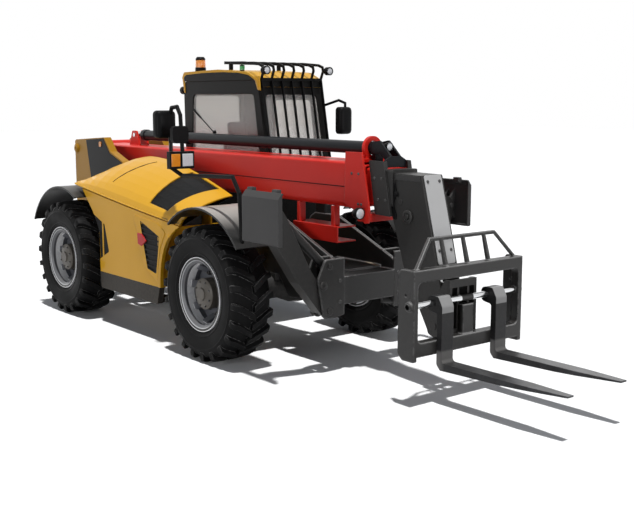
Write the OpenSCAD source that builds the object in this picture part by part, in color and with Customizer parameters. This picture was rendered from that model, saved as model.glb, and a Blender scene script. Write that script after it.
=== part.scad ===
// Telehandler with a three-part boom, four-wheel steering, front stabilisers and a fork carriage.
// X points forward, Y to the left and Z up. Lengths inside the modules count from the front axle.

/* [Running gear] */
// Front axle ahead of the machine's middle
front_axle_x = 230; // [100:5:300]
// Distance between the axles
wheelbase = 2860; // [2840:5:2900]
// Tyre radius out to the lugs' tips
tyre_r = 635; // [620:1:640]
// Tyre width over the sidewalls
tyre_w = 430; // [400:5:436]
// Height of a lug above the tread
lug_h = 42; // [25:1:50]
// Width of a lug
lug_w = 54; // [40:1:60]
// Lugs on each side of a tyre
lug_count = 22; // [16:1:24]
// Distance of a wheel's middle plane from the machine's middle
wheel_y = 935; // [930:1:945]
// Radius of the rim's flange
rim_r = 345; // [335:1:360]
// Radius of the planetary hub
hub_r = 145; // [125:1:150]
// Distance of a kingpin from the machine's middle
kingpin_y = 700; // [695:1:705]
// Kingpin radius
kingpin_r = 35; // [25:1:45]
// Spindle radius
spindle_r = 60; // [45:1:70]
// Space between a wheel and the inside of its fender
fender_gap = 155; // [150:1:165]
// Fender sheet thickness
fender_t = 12; // [6:1:20]

/* [Chassis] */
// Distance of the side plates' outer faces from the middle
frame_y = 330; // [300:1:335]
// Side plate thickness
frame_t = 30; // [20:1:40]
// Height of the belly plate
belly_z = 450; // [400:5:500]
// Height of the front deck
deck_z = 880; // [840:5:900]
// Front face of the stabiliser beam ahead of the front axle
beam_x = 1080; // [1070:1:1100]
// Rear edge of the towers behind the rear axle
rear_overhang = 1055; // [1000:5:1100]
// Outer face of a tower from the middle
tower_y = 420; // [390:1:425]

/* [Boom] */
// Height of the boom's pivot
pivot_z = 1804; // [1790:1:1815]
// Pivot pin radius
pivot_r = 45; // [35:1:60]
// Width of the outer boom section
boom_w = 380; // [360:2:400]
// Height of the outer boom's top face
boom_top = 1860; // [1850:1:1870]
// Height of the outer boom's bottom face
boom_bottom = 1454; // [1450:1:1460]
// Wall thickness of the boom sections
boom_wall = 10; // [6:1:12]
// Space between two boom sections, filled by wear pads
slide_gap = 12; // [8:1:16]
// Running clearance at the wear pads and in the rod glands
run_gap = 0.3; // [0.3:0.05:0.8]
// Radius of the extension cylinder's barrel
extend_r = 58; // [44:1:59]
// Radius of the lift cylinder's barrel
lift_r = 75; // [65:1:85]

/* [Carriage] */
// Front face of the carriage ahead of the front axle
carriage_x = 2300; // [2290:1:2320]
// Width of the carriage over its posts
carriage_w = 1266; // [1100:2:1300]
// Height of the fork shaft
shaft_z = 815; // [800:1:830]
// Fork shaft radius
shaft_r = 26; // [20:1:30]
// Distance of a fork's middle from the machine's middle
fork_y = 315; // [260:5:400]
// Fork width
fork_w = 130; // [100:5:150]
// Fork thickness at the shank
fork_t = 55; // [45:1:60]
// Length of a fork's blade
fork_len = 1200; // [1000:10:1300]
// Height of the carriage's tilt pin
tilt_z = 560; // [555:1:565]

/* [Cab and hood] */
// Right wall of the cab from the middle
cab_y0 = 240; // [225:1:260]
// Left wall of the cab from the middle
cab_y1 = 1090; // [1070:1:1100]
// Wall thickness of the cab
cab_wall = 45; // [35:1:55]
// Top of the cab's walls
cab_top = 2600; // [2580:1:2620]
// Glass thickness
glass_t = 6; // [4:0.5:8]
// Outer side of the hood from the middle
hood_y = 1030; // [1020:1:1035]
// Hood sheet thickness
hood_t = 14; // [8:1:20]
// Gap around the hood and the door
shut_gap = 6; // [5:0.5:8]

/* [Hidden] */
$fn = 48;

axle_z = tyre_r;
rear_x = -wheelbase;
tower_x0 = rear_x - rear_overhang;
pivot_x = tower_x0 + 49;
saddle_h = 125;
clamp_count = 8;
saddle_z = axle_z + saddle_h;
seat_gap = 0.3;
pin_gap = 0.05;
move_gap = 6;
bay = wheelbase / 2860;
yellow = "#F2B21B";
red = "#A8322C";
dark = "#2E3033";
steel = "#8C8F92";
chrome = "#D5D8DA";
grey = "#6F6B66";
rubber = "#1B1B1C";
glass = "#5E7078";

// Boom sections, each inside the one before
mid_w = boom_w - 2 * boom_wall - 2 * slide_gap;
mid_top = boom_top - boom_wall - slide_gap;
mid_bottom = boom_bottom + boom_wall + slide_gap;
inner_w = mid_w - 2 * boom_wall - 2 * slide_gap;
inner_top = mid_top - boom_wall - slide_gap;
inner_bottom = mid_bottom + boom_wall + slide_gap;
boom_front = 1000;
mid_front = 1196;
inner_front = 1420;
extend_z = boom_top + 120;
extend_x = rear_x - 200;
rod_r = extend_r * 0.6;

// Lift cylinder, foot on the chassis and eye below the boom
lift_foot = [rear_x - 556, 804];
lift_eye = [rear_x + 894, boom_bottom - 80];
lift_vec = lift_eye - lift_foot;
lift_len = norm(lift_vec);
lift_ang = atan2(lift_vec[1], lift_vec[0]);
lift_rod_r = lift_r * 0.66;

// Drop head and tilt cylinder
tilt_pin = [carriage_x - 260, tilt_z];
tilt_top = [carriage_x - 700, tilt_z + 990];
tilt_eye = tilt_pin + [-50, 300];
tilt_vec = tilt_eye - tilt_top;
tilt_len = norm(tilt_vec);
tilt_ang = atan2(tilt_vec[1], tilt_vec[0]);
head_y = 122;
head_t = 20;

// Stabilisers, in the Y and Z of the left one
arm_pin = [466, 566];
pad_pin = [1060, 1400];
cyl_foot = [466, 965];
cyl_eye = [985, 1445];
cyl_vec = cyl_eye - cyl_foot;
cyl_len = norm(cyl_vec);
cyl_ang = atan2(cyl_vec[1], cyl_vec[0]);
arm_vec = pad_pin - arm_pin;
arm_ang = atan2(arm_vec[1], arm_vec[0]);
arm_len = norm(arm_vec);
stab_x = beam_x - 90;
stab_half = 66;
ear_t = 20;
ear_half = stab_half + 6;
arm_t = 16;
stab_pin_r = 30;
pad_pin_r = 22;
pad_y = 1140;

// Fenders
fender_r = tyre_r + fender_gap;

// Cab outline in X and Z
cab_floor = 920;
seat_z = 1225;
cab_front_x = -740;
cab_front_z = 1420;
cab_slope = (955 - 740) / (2530 - 1420);
roof_z = cab_top + 116;
function cab_nose(z) = cab_front_x - cab_slope * (z - cab_front_z);
function cab_back(z) = -2390 - 30 * (z - 1400) / (cab_top - 1400);
guard_z = cab_top + 100;
guard_x = cab_nose(guard_z) + 110;

// Hood outline: heights of the inner edge and of the ridge along X
hood_y0 = 430;
hood_x0 = -2690;
hood_x1 = -470;
hood_steps = 14;
hood_hinge_z = 1600;
hinge_x = [-2150, -1750];
hinge_r = 8;
lip_t = 8;
panel_t = 5;

function unit(v) = v / norm(v);
function turn_of(t) = t > 180 ? t - 360 : (t < -180 ? t + 360 : t);
function corner(p0, p1, p2, r, n) =
    let (
        a = unit(p0 - p1),
        b = unit(p2 - p1),
        half = acos(a * b) / 2,
        c = p1 + unit(a + b) * (r / sin(half)),
        s = p1 + a * (r / tan(half)) - c,
        e = p1 + b * (r / tan(half)) - c,
        a0 = atan2(s[1], s[0]),
        t = turn_of(atan2(e[1], e[0]) - a0)
    )
    [for (i = [0:n]) c + r * [cos(a0 + t * i / n), sin(a0 + t * i / n)]];
function flat2(p) = [p[0], p[1]];
function rounded(pts, n = 4) =
    let (m = len(pts))
    [for (i = [0:m - 1])
        let (p = pts[i])
        each (p[2] > 0
            ? corner(flat2(pts[(i + m - 1) % m]), flat2(p), flat2(pts[(i + 1) % m]), p[2], n)
            : [flat2(p)])];
function with_r(pts, r) = [for (p = pts) [p[0], p[1], r]];
function rect_r(x0, y0, x1, y1, r) = with_r([[x0, y0], [x1, y0], [x1, y1], [x0, y1]], r);
function mix(a, b, t) = a + (b - a) * t;
function bez2(a, b, c, t) = mix(mix(a, b, t), mix(b, c, t), t);
function bez3(a, b, c, d, t) = mix(bez2(a, b, c, t), bez2(b, c, d, t), t);
function bar_normal(path, i) =
    let (
        m = len(path),
        d0 = i > 0 ? unit(path[i] - path[i - 1]) : unit(path[1] - path[0]),
        d1 = i < m - 1 ? unit(path[i + 1] - path[i]) : d0,
        d = unit(d0 + d1)
    )
    [-d[1], d[0]] / (d * d0);
function strip(path, w) =
    concat(path, [for (i = [len(path) - 1:-1:0]) path[i] + bar_normal(path, i) * w]);

module placed(c) {
    color(c) translate([front_axle_x, 0, 0]) children();
}
module side_extrude(y0, y1) {
    translate([0, y1, 0]) rotate([90, 0, 0]) linear_extrude(y1 - y0) children();
}
module cross_extrude(x0, x1) {
    translate([x0, 0, 0]) rotate([90, 0, 90]) linear_extrude(x1 - x0) children();
}
module plan_extrude(z0, z1) {
    translate([0, 0, z0]) linear_extrude(z1 - z0) children();
}
module block(a, b) {
    translate(a) cube(b - a);
}
module pair() {
    children();
    mirror([0, 1, 0]) children();
}
module y_rod(x, z, r, y0, y1) {
    translate([x, y0, z]) rotate([-90, 0, 0]) cylinder(h = y1 - y0, r = r);
}
module x_rod(y, z, r, x0, x1) {
    translate([x0, y, z]) rotate([0, 90, 0]) cylinder(h = x1 - x0, r = r);
}
module rod_between(a, b, r) {
    d = b - a;
    translate(a)
        rotate([0, acos(d[2] / norm(d)), atan2(d[1], d[0])])
        cylinder(h = norm(d), r = r);
}
module tube_run(pts, r) {
    for (i = [0:len(pts) - 2]) rod_between(pts[i], pts[i + 1], r);
    for (p = pts) translate(p) sphere(r = r + 0.6);
}
// Places a cylinder's own axis along X at its foot, in the XZ plane
module along_side(foot, ang) {
    translate([foot[0], 0, foot[1]]) rotate([0, -ang, 0]) children();
}
// The same in the YZ plane of the left stabiliser, with the cylinder's own axis along X
module along_cross(foot, ang) {
    translate([stab_x, foot[0], foot[1]]) rotate([90, 0, 90]) rotate([0, 0, ang]) children();
}

// Running gear
module tyre_carcass() {
    half = tyre_w / 2;
    wall = tyre_r - rim_r;
    bead = rim_r - 40 + seat_gap;
    base = tyre_r - lug_h;
    side = [[bead, 177], [rim_r + 5, 177], [rim_r + wall * 0.12, half - 10], [rim_r + wall * 0.4, half - 2],
        [rim_r + wall * 0.6, half - 4], [base - wall * 0.09, half - 16], [base - wall * 0.02, half - 44],
        [base, half - 110]];
    rotate([-90, 0, 0]) rotate_extrude()
        polygon(concat([for (p = side) [p[0], -p[1]]], [for (i = [len(side) - 1:-1:0]) side[i]]));
}
// One chevron lug at the top of the tyre, from past the middle out over the left shoulder
function lug_top(x) = sqrt(pow(tyre_r, 2) - pow(abs(x) + lug_w / 2, 2));
module lug() {
    half = tyre_w / 2;
    foot = tyre_r - lug_h - 30;
    run = [[62, -10], [-4, half * 0.4], [-46, half * 0.74], [-58, half]];
    intersection() {
        plan_extrude(tyre_r - 130, tyre_r + 10)
            polygon(concat([for (p = run) p - [lug_w / 2, 0]],
                [for (i = [len(run) - 1:-1:0]) run[i] + [lug_w / 2, 0]]));
        cross_extrude(-150, 150)
            polygon([[-10, foot], [-10, lug_top(run[0][0])], [half * 0.4, lug_top(run[1][0])],
                [half * 0.74, lug_top(run[2][0]) - 4], [half - 14, lug_top(run[3][0]) - 22],
                [half, lug_top(run[3][0]) - 44], [half - 1, tyre_r - 92], [half - 16, tyre_r - 118],
                [half * 0.6, foot]]);
    }
}
module tyre_shape() {
    pitch = 360 / lug_count;
    tyre_carcass();
    for (i = [0:lug_count - 1]) {
        rotate([0, i * pitch, 0]) lug();
        rotate([0, (i + 0.5) * pitch, 0]) mirror([0, 1, 0]) lug();
    }
}
module rim_shape() {
    seat = rim_r - 40;
    inner = seat - 17;
    bore = spindle_r + pin_gap;
    rotate([-90, 0, 0]) rotate_extrude()
        polygon([[0, 60], [bore, 60], [bore, -45], [150, -45], [inner, -15], [inner, -170],
            [rim_r - 27, -195], [rim_r, -195], [rim_r, -178], [seat, -178], [seat, 178],
            [rim_r, 178], [rim_r, 195], [rim_r - 27, 195], [inner, 170], [inner, 12],
            [hub_r + 22, -18], [hub_r, -18], [hub_r, 140], [hub_r - 18, 152], [62, 164],
            [56, 178], [0, 178]]);
    for (i = [0:clamp_count - 1]) rotate([0, (i + 0.25) * 360 / clamp_count, 0])
        cross_extrude(-35, 35)
            polygon([[-8, inner - 72], [8, inner + 2], [98, inner + 2], [98, inner - 16]]);
}
module at_wheel(x, side) {
    mirror([0, side > 0 ? 0 : 1, 0]) translate([x, wheel_y, axle_z]) children();
}
module knuckle_shape(x, side) {
    mirror([0, side > 0 ? 0 : 1, 0]) translate([x, 0, axle_z]) {
        translate([0, kingpin_y, -160]) cylinder(h = 320, r = kingpin_r);
        translate([0, kingpin_y, -105]) cylinder(h = 210, r = 78);
        y_rod(0, 0, 98, kingpin_y, wheel_y - 130);
        y_rod(0, 0, 122, kingpin_y + 92, wheel_y - 60);
        y_rod(0, 0, spindle_r, kingpin_y + 92, wheel_y + 55);
    }
}
module axle_shape(x) {
    translate([x, 0, axle_z]) {
        yoke_in = kingpin_y - 155;
        rotate([-90, 0, 0]) rotate_extrude()
            polygon([[0, -yoke_in], [95, -yoke_in], [104, -300], [130, -260], [188, -110],
                [198, 0], [188, 110], [130, 260], [104, 300], [95, yoke_in], [0, yoke_in]]);
        pair() {
            block([-75, yoke_in - 20, -150], [75, yoke_in + 50, 150]);
            for (z = [-150, 112]) difference() {
                union() {
                    block([-75, yoke_in, z], [75, kingpin_y, z + 38]);
                    translate([0, kingpin_y, z]) cylinder(h = 38, r = 75);
                }
                translate([0, kingpin_y, z - 1]) cylinder(h = 40, r = kingpin_r + pin_gap);
            }
            block([-110, frame_y - frame_t - 10, 60], [110, frame_y + 8, saddle_h]);
        }
    }
}
module axles() {
    placed(dark) {
        axle_shape(0);
        axle_shape(rear_x);
    }
}
module fender_arc(x, a0, a1, y0) {
    steps = 16;
    arc = [for (i = [0:steps]) let (a = a0 + (a1 - a0) * i / steps) [cos(a), sin(a)]];
    inner = [for (p = arc) [x, axle_z] + p * fender_r];
    outer = [for (i = [steps:-1:0]) [x, axle_z] + arc[i] * (fender_r + fender_t)];
    side_extrude(y0, wheel_y + 205) polygon(concat(inner, outer));
    lip = [for (i = [steps:-1:0]) [x, axle_z] + arc[i] * (fender_r - 6)];
    out = [for (p = arc) [x, axle_z] + p * (fender_r + 2)];
    side_extrude(wheel_y + 185, wheel_y + 205) polygon(concat(out, lip));
}
module fenders() {
    top = axle_z + fender_r;
    placed(dark) {
        pair() {
            fender_arc(0, 38, 122, wheel_y - 215);
            fender_arc(0, 121, 131, hood_y + lip_t + move_gap);
            block([-70, frame_y - frame_t, 1290], [70, frame_y, top + fender_t]);
            block([-70, frame_y - 1, top + 2], [70, wheel_y - 210, top + fender_t]);
        }
        pair() {
            fender_arc(rear_x, 62, 152, wheel_y - 215);
            block([rear_x - 70, tower_y, top], [rear_x + 70, wheel_y - 210, top + fender_t]);
        }
    }
}

// Chassis
module frame_side() {
    polygon([[tower_x0 + 60, 560], [tower_x0 + 60, 1250], [rear_x - 240, 1300],
        [rear_x + 60, 1120], [rear_x + 460, 900], [-420, 900], [-150, 1250], [-80, 1290],
        [260, 1290], [beam_x - 30, 965], [beam_x - 2, 930], [beam_x - 2, 610],
        [300, 560], [150, saddle_z], [-150, saddle_z], [-230, belly_z + 20],
        [rear_x + 230, belly_z + 20], [rear_x + 150, saddle_z], [rear_x - 150, saddle_z],
        [rear_x - 240, 560]]);
}
module stab_ear(x0, x1) {
    difference() {
        cross_extrude(x0, x1)
            polygon(rounded([[frame_y - frame_t, 520, 0], [frame_y - frame_t, 1030, 0],
                [520, 1030, 40], [600, 860, 20], [588, 780, 10], [535, 510, 30], [420, 500, 20]]));
        x_rod(arm_pin[0], arm_pin[1], stab_pin_r + pin_gap, x0 - 1, x1 + 1);
        x_rod(cyl_foot[0], cyl_foot[1], pad_pin_r + pin_gap, x0 - 1, x1 + 1);
    }
}
module chassis_frame() {
    ear_a = stab_x - ear_half - ear_t;
    ear_b = stab_x + ear_half;
    lug_y = lift_r + 9;
    placed(dark) {
        pair() {
            side_extrude(frame_y - frame_t, frame_y) frame_side();
            stab_ear(ear_a, ear_a + ear_t);
            stab_ear(ear_b, ear_b + ear_t);
            difference() {
                side_extrude(lug_y, lug_y + 26)
                    polygon(rounded([[lift_foot[0] - 110, 560, 0], [lift_foot[0] - 75, 890, 60],
                        [lift_foot[0] + 75, 890, 60], [lift_foot[0] + 110, 560, 0]]));
                y_rod(lift_foot[0], lift_foot[1], 30 + pin_gap, lug_y - 1, lug_y + 27);
            }
        }
        block([rear_x + 200, -frame_y, belly_z], [-200, frame_y, belly_z + 24]);
        block([lift_foot[0] - 110, -frame_y, 560], [lift_foot[0] + 110, frame_y, 640]);
        block([260, -frame_y, deck_z - 20], [ear_a + 1, frame_y, deck_z]);
        block([beam_x - 200, -frame_y, 600], [ear_a + 1, frame_y, deck_z]);
        block([ear_a, -380, 610], [beam_x, 380, 860]);
        block([-1500, -frame_y, 700], [-1380, frame_y, 860]);
        side_extrude(-tower_y, tower_y)
            polygon(rounded([[tower_x0, 560, 60], [tower_x0, 1040, 90], [tower_x0 + 230, 1100, 40],
                [rear_x - 720, 1100, 0], [rear_x - 720, 480, 40], [tower_x0 + 150, 470, 40]]));
    }
}
module boom_towers() {
    placed(yellow) pair() difference() {
        side_extrude(frame_y, tower_y)
            polygon(rounded([[tower_x0, 1110, 0], [tower_x0, 1890, 25], [tower_x0 + 35, 1910, 10],
                [tower_x0 + 767, 1956, 20], [tower_x0 + 915, 1793, 60],
                [tower_x0 + 1215, 1690, 60], [tower_x0 + 1300, 1480, 40],
                [tower_x0 + 1000, 1110, 0]]));
        y_rod(pivot_x, pivot_z, pivot_r + pin_gap, frame_y - 1, tower_y + 1);
    }
}
module tow_hitch() {
    placed(dark) {
        x0 = tower_x0;
        difference() {
            union() {
                block([x0 - 20, -110, 600], [x0, 110, 820]);
                for (z = [640, 750]) block([x0 - 100, -60, z], [x0 - 10, 60, z + 28]);
            }
            translate([x0 - 68, 0, 630]) cylinder(h = 160, r = 16);
        }
    }
}
module engine() {
    placed(steel) scale([bay, 1, 1]) {
        block([-1950, -860, 640], [-1000, -450, 1230]);
        for (x = [-1850, -1150]) block([x, -450, 700], [x + 90, -frame_y, 790]);
    }
}
module side_boxes() {
    skirt_z = 562 - seat_gap;
    placed(grey) scale([bay, 1, 1]) {
        side_extrude(-hood_y, -hood_y + 60)
            polygon(rounded([[-2140, skirt_z, 0], [-2120, 385, 20], [-930, 385, 20], [-880, skirt_z, 0]]));
        block([-2060, -hood_y, 385], [-980, -760, 405]);
        for (x = [-2000, -1100]) block([x, -780, 385], [x + 60, -frame_y, belly_z + 20]);
        difference() {
            side_extrude(frame_y, hood_y)
                polygon(rounded([[-2050, 820, 30], [-2020, 400, 40], [-850, 400, 40],
                    [-820, 820, 30]]));
            block([-1450, hood_y - 190, 390], [-1000, hood_y + 1, 640]);
        }
        block([-1455, hood_y - 200, 430], [-995, hood_y, 450]);
        block([-1455, hood_y - 200, 610], [-995, hood_y, 640]);
        for (x = [-1468, -1000]) block([x, hood_y - 200, 430], [x + 18, hood_y, 640]);
    }
}

// Hood
function hood_crest(t) = t < 0.3
    ? bez2(1560, 1785, 1785, t / 0.3)
    : bez3(1785, 1785, 1640, 1470, (t - 0.3) / 0.7);
function hood_ridge(t) = bez2(1478, 1330, 1225, t);
function hood_point(t, s) =
    let (
        a = [-hood_y0, hood_crest(t)],
        d = [-hood_y, hood_ridge(t)],
        b = a + [-(hood_y - hood_y0) * 0.42, -20],
        c = [-hood_y + 20, hood_ridge(t) + (hood_crest(t) - hood_ridge(t)) * 0.42]
    )
    bez3(a, b, c, d, s);
hood_across = 8;
function hood_loop(t, drop) =
    let (
        top = [for (j = [0:hood_across]) hood_point(t, j / hood_across)],
        low = [for (j = [hood_across:-1:0])
            hood_point(t, j / hood_across) + [drop * j / hood_across, -drop]]
    )
    concat(top, low);
module hood_loft(t0, t1, lift, drop) {
    m = 2 * (hood_across + 1);
    pts = [for (i = [0:hood_steps])
        let (t = t0 + (t1 - t0) * i / hood_steps)
        each [for (p = hood_loop(t, drop)) [hood_x0 + (hood_x1 - hood_x0) * t, p[0], p[1] + lift]]];
    sides = [for (i = [0:hood_steps - 1]) for (j = [0:m - 1])
        [i * m + j, i * m + (j + 1) % m, (i + 1) * m + (j + 1) % m, (i + 1) * m + j]];
    ends = [[for (j = [m - 1:-1:0]) j], [for (j = [0:m - 1]) hood_steps * m + j]];
    polyhedron(pts, concat(sides, ends), convexity = 6);
}
side_vent = [[-1236, 1198, 12], [-858, 1068, 20], [-932, 690, 20], [-1104, 725, 20], [-1171, 959, 30]];
rear_inset = [[-2300, 1189, 0], [-2010, 1082, 20], [-1925, 796, 20], [-2169, 681, 0]];
slat_pitch = 52;
grille_plan = [[-1154, -460], [-648, -460], [-765, -985], [-1112, -985]];
module hood() {
    placed(yellow) scale([bay, 1, 1]) {
        difference() {
            hood_loft(0, 1, 0, hood_t);
            plan_extrude(1000, 2000) polygon(grille_plan);
        }
        for (x = hinge_x) {
            cross_extrude(x + 14, x + 46)
                polygon([[-hood_y0 - 14, hood_hinge_z - 8], [-hood_y0 - 6, hood_hinge_z - 14],
                    [-hood_y0 + 6, hood_hinge_z - 14], [-hood_y0 + 12, hood_hinge_z],
                    [-hood_y0 - 2, hood_hinge_z + 100], [-hood_y0 - 2, 1770], [-hood_y0 - 30, 1760],
                    [-hood_y0 - 30, hood_hinge_z + 90]]);
            x_rod(-hood_y0, hood_hinge_z, hinge_r, x, x + 60);
        }
    }
}
module hood_grille() {
    placed(rubber) scale([bay, 1, 1]) intersection() {
        hood_loft(0.6, 1, -hood_t + 2, 8);
        plan_extrude(1000, 2000)
            polygon([for (p = grille_plan) p + [p[0] < -900 ? 1 : -1, p[1] < -700 ? 1 : -1]]);
    }
}
module hood_side() {
    tray_z = 562;
    mount_z = 800;
    wall_z = 1400;
    placed(yellow) scale([bay, 1, 1]) {
        ridge = [for (i = [0:10]) let (t = 0.08 + 0.906 * i / 10)
            [hood_x0 + (hood_x1 - hood_x0) * t, hood_ridge(t) - hood_t - shut_gap]];
        arch = [for (i = [0:10]) bez3([-495, 1200], [-730, 1110], [-860, 880], [-850, tray_z], i / 10)];
        difference() {
            union() {
                side_extrude(-hood_y, -hood_y + 30)
                    polygon(concat(ridge, arch, [[-2130, tray_z], [-2150, 1000], [-2268, 1195]]));
                side_extrude(-hood_y - panel_t, -hood_y + 1)
                    polygon(rounded([[-1385, 1245, 20], [-1290, 1072, 80], [-1210, 831, 60],
                        [-1122, 717, 60], [-905, 612, 20], [-900, 760, 60], [-850, 960, 60],
                        [-740, 1120, 30], [-900, 1205, 40]]));
            }
            side_extrude(-hood_y - panel_t - 1, -hood_y + 8) polygon(rounded(side_vent));
            side_extrude(-hood_y - 1, -hood_y + 8) polygon(rounded(rear_inset));
        }
        side_extrude(-hood_y - lip_t, -hood_y + 10)
            polygon(strip([for (i = [3:10]) arch[i]], -46));
        intersection() {
            side_extrude(-hood_y - 2, -hood_y + 9) polygon(rounded(side_vent));
            for (z = [700:slat_pitch:1200]) block([-1260, -hood_y - 3, z], [-840, -hood_y + 10, z + 14]);
        }
        side_extrude(-hood_y - 12, -hood_y + 9)
            polygon(rounded([[-1280, 1064, 12], [-1200, 1062, 12], [-1122, 1000, 14], [-1204, 945, 12],
                [-1272, 960, 12]]));
        block([-2060, -hood_y + 1, tray_z], [-860, -frame_y - 110, tray_z + 20]);
        block([-900, -hood_y + 1, tray_z], [-870, -frame_y, 1150]);
        block([-2070, -hood_y + 1, tray_z], [-2045, -frame_y, 1250]);
        block([-2070, -hood_y0, mount_z], [-870, -hood_y0 + 20, wall_z]);
        for (x = hinge_x) difference() {
            union() {
                for (d = [0, 48]) {
                    block([x + d, -hood_y0 - 5, wall_z - 1], [x + d + 12, -hood_y0 + 20, hood_hinge_z]);
                    x_rod(-hood_y0, hood_hinge_z, hinge_r + 10, x + d, x + d + 12);
                }
            }
            x_rod(-hood_y0, hood_hinge_z, hinge_r + pin_gap, x - 1, x + 61);
        }
    }
}

// Cab
module cab_outline() {
    polygon(rounded([[-2030, cab_floor, 30], [-2390, 1400, 60], [-2420, cab_top, 60],
        [cab_nose(cab_top), cab_top, 40], [cab_front_x, cab_front_z, 30], [-820, cab_floor, 30]]));
}
module cab_hollow() {
    w = cab_wall;
    polygon(rounded([[-2030 + w, cab_floor + w, 30], [-2390 + w, 1400 + w / 2, 40],
        [-2420 + w, cab_top - w, 40], [cab_nose(cab_top - w) - w, cab_top - w, 30],
        [cab_front_x - w, cab_front_z, 20], [-820 - w, cab_floor + w, 30]]));
}
door_pin = [-1902, cab_y1 + 14];
door_hinge_z = [1150, 2250];
side_window = [[-2280, 1560, 60], [-2225, 2455, 60], [-1040, 2455, 50], [-890, 1560, 60]];
door_line = [[-1890, 1000, 30], [-1890, 2470, 60], [-1035, 2470, 50], [-850, 1440, 60],
    [-880, 1000, 40]];
door_window = [[-1800, 1480, 50], [-1800, 2390, 50], [-1105, 2390, 40], [-945, 1480, 40]];
function grow(pts, g) =
    let (c = [for (k = [0:1]) (max([for (p = pts) p[k]]) + min([for (p = pts) p[k]])) / 2])
    [for (p = pts) [p[0] + (p[0] > c[0] ? g : -g), p[1] + (p[1] > c[1] ? g : -g), p[2] + g]];
module cab_shell() {
    w = cab_wall;
    placed(dark) scale([bay, 1, 1]) {
        difference() {
            side_extrude(cab_y0, cab_y1) cab_outline();
            side_extrude(cab_y0 + w, cab_y1 - w) cab_hollow();
            side_extrude(cab_y0 - 1, cab_y0 + w + 1) polygon(rounded(side_window));
            side_extrude(cab_y1 - w - 1, cab_y1 + 1) polygon(rounded(grow(door_line, shut_gap)));
            cross_extrude(-2460, -2330)
                polygon(rounded(rect_r(cab_y0 + 90, 1620, cab_y1 - 90, 2440, 50)));
            cross_extrude(-1000, -700)
                polygon(rounded(rect_r(cab_y0 + 80, 1480, cab_y1 - 80, 2450, 50)));
            plan_extrude(cab_top - w - 1, cab_top + 1)
                polygon(rounded(rect_r(-1900, cab_y0 + 120, -1150, cab_y1 - 120, 50)));
        }
        for (x = [-1850, -1000]) block([x, frame_y - frame_t, 900], [x + 80, cab_y1 - 200, cab_floor + 1]);
        for (z = door_hinge_z) difference() {
            union() {
                block([-1940, cab_y1 - 1, z], [door_pin[0], door_pin[1] + 12, z + 60]);
                translate([door_pin[0], door_pin[1], z]) cylinder(h = 60, r = hinge_r + 4);
            }
            block([door_pin[0] - 18, cab_y1, z + 14], [door_pin[0] + 20, cab_y1 + 40, z + 46]);
            translate([door_pin[0], door_pin[1], z - 1]) cylinder(h = 62, r = hinge_r + pin_gap);
        }
    }
}
module cab_roof() {
    low = cab_top - 72;
    placed(yellow) scale([bay, 1, 1]) side_extrude(cab_y0 - 10, cab_y1 + 10)
        polygon(rounded([[-2410, cab_top + seat_gap, 0], [-2440, cab_top + 40, 15], [-2400, roof_z - 11, 40],
            [-1700, roof_z + 6, 200], [-1150, cab_top + 90, 150], [cab_nose(cab_top) + 13, cab_top + 6, 30],
            [cab_nose(low) + 13, low, 4], [cab_nose(low) + seat_gap, low, 0],
            [cab_nose(cab_top) + seat_gap, cab_top + seat_gap, 0]]));
}
module cab_glass() {
    placed(glass) scale([bay, 1, 1]) {
        side_extrude(cab_y0 + 12, cab_y0 + 12 + glass_t) polygon(rounded(grow(side_window, -seat_gap)));
        intersection() {
            cross_extrude(-1000, -700)
                polygon(rounded(rect_r(cab_y0 + 80 + seat_gap, 1480 + seat_gap, cab_y1 - 80 - seat_gap,
                    2450 - seat_gap, 50)));
            side_extrude(cab_y0, cab_y1)
                polygon([[cab_nose(1400) - 14, 1400], [cab_nose(2500) - 14, 2500],
                    [cab_nose(2500) - 14 - glass_t, 2500], [cab_nose(1400) - 14 - glass_t, 1400]]);
        }
        cross_extrude(-2397, -2397 + glass_t)
            polygon(rounded(rect_r(cab_y0 + 90 + seat_gap, 1620 + seat_gap, cab_y1 - 90 - seat_gap,
                2440 - seat_gap, 50)));
    }
}
module cab_guard() {
    bar = 14;
    low = 1500;
    top = cab_top + 10;
    path = [[cab_nose(low) + 50, low], [cab_nose(top) + 52, top], [guard_x, guard_z],
        [guard_x - 14, guard_z + 52], [guard_x - 92, guard_z + 78], [-1250, guard_z + 100],
        [-1600, guard_z + 107]];
    y0 = cab_y0 + 20;
    y1 = cab_y1 - 20;
    placed(rubber) scale([bay, 1, 1]) {
        for (i = [0:6]) {
            y = y0 + (y1 - y0 - bar) * i / 6;
            side_extrude(y, y + bar) polygon(strip(path, 28));
        }
        block([-1612, y0, guard_z + 77], [-1585, y1, guard_z + 108]);
        block([cab_nose(top) + 26, y0, top - 14], [cab_nose(top) + 52, y1, top + 14]);
        block([cab_nose(low) + 22, y0, low], [cab_nose(low) + 49, y1, low + 30]);
        for (y = [y0 + 60, y1 - 100]) {
            block([-1612, y, roof_z + 1 + seat_gap], [-1585, y + 40, guard_z + 80]);
            block([cab_nose(low) + seat_gap, y, low], [cab_nose(low) + 35, y + 40, low + 30]);
        }
    }
}
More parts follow.
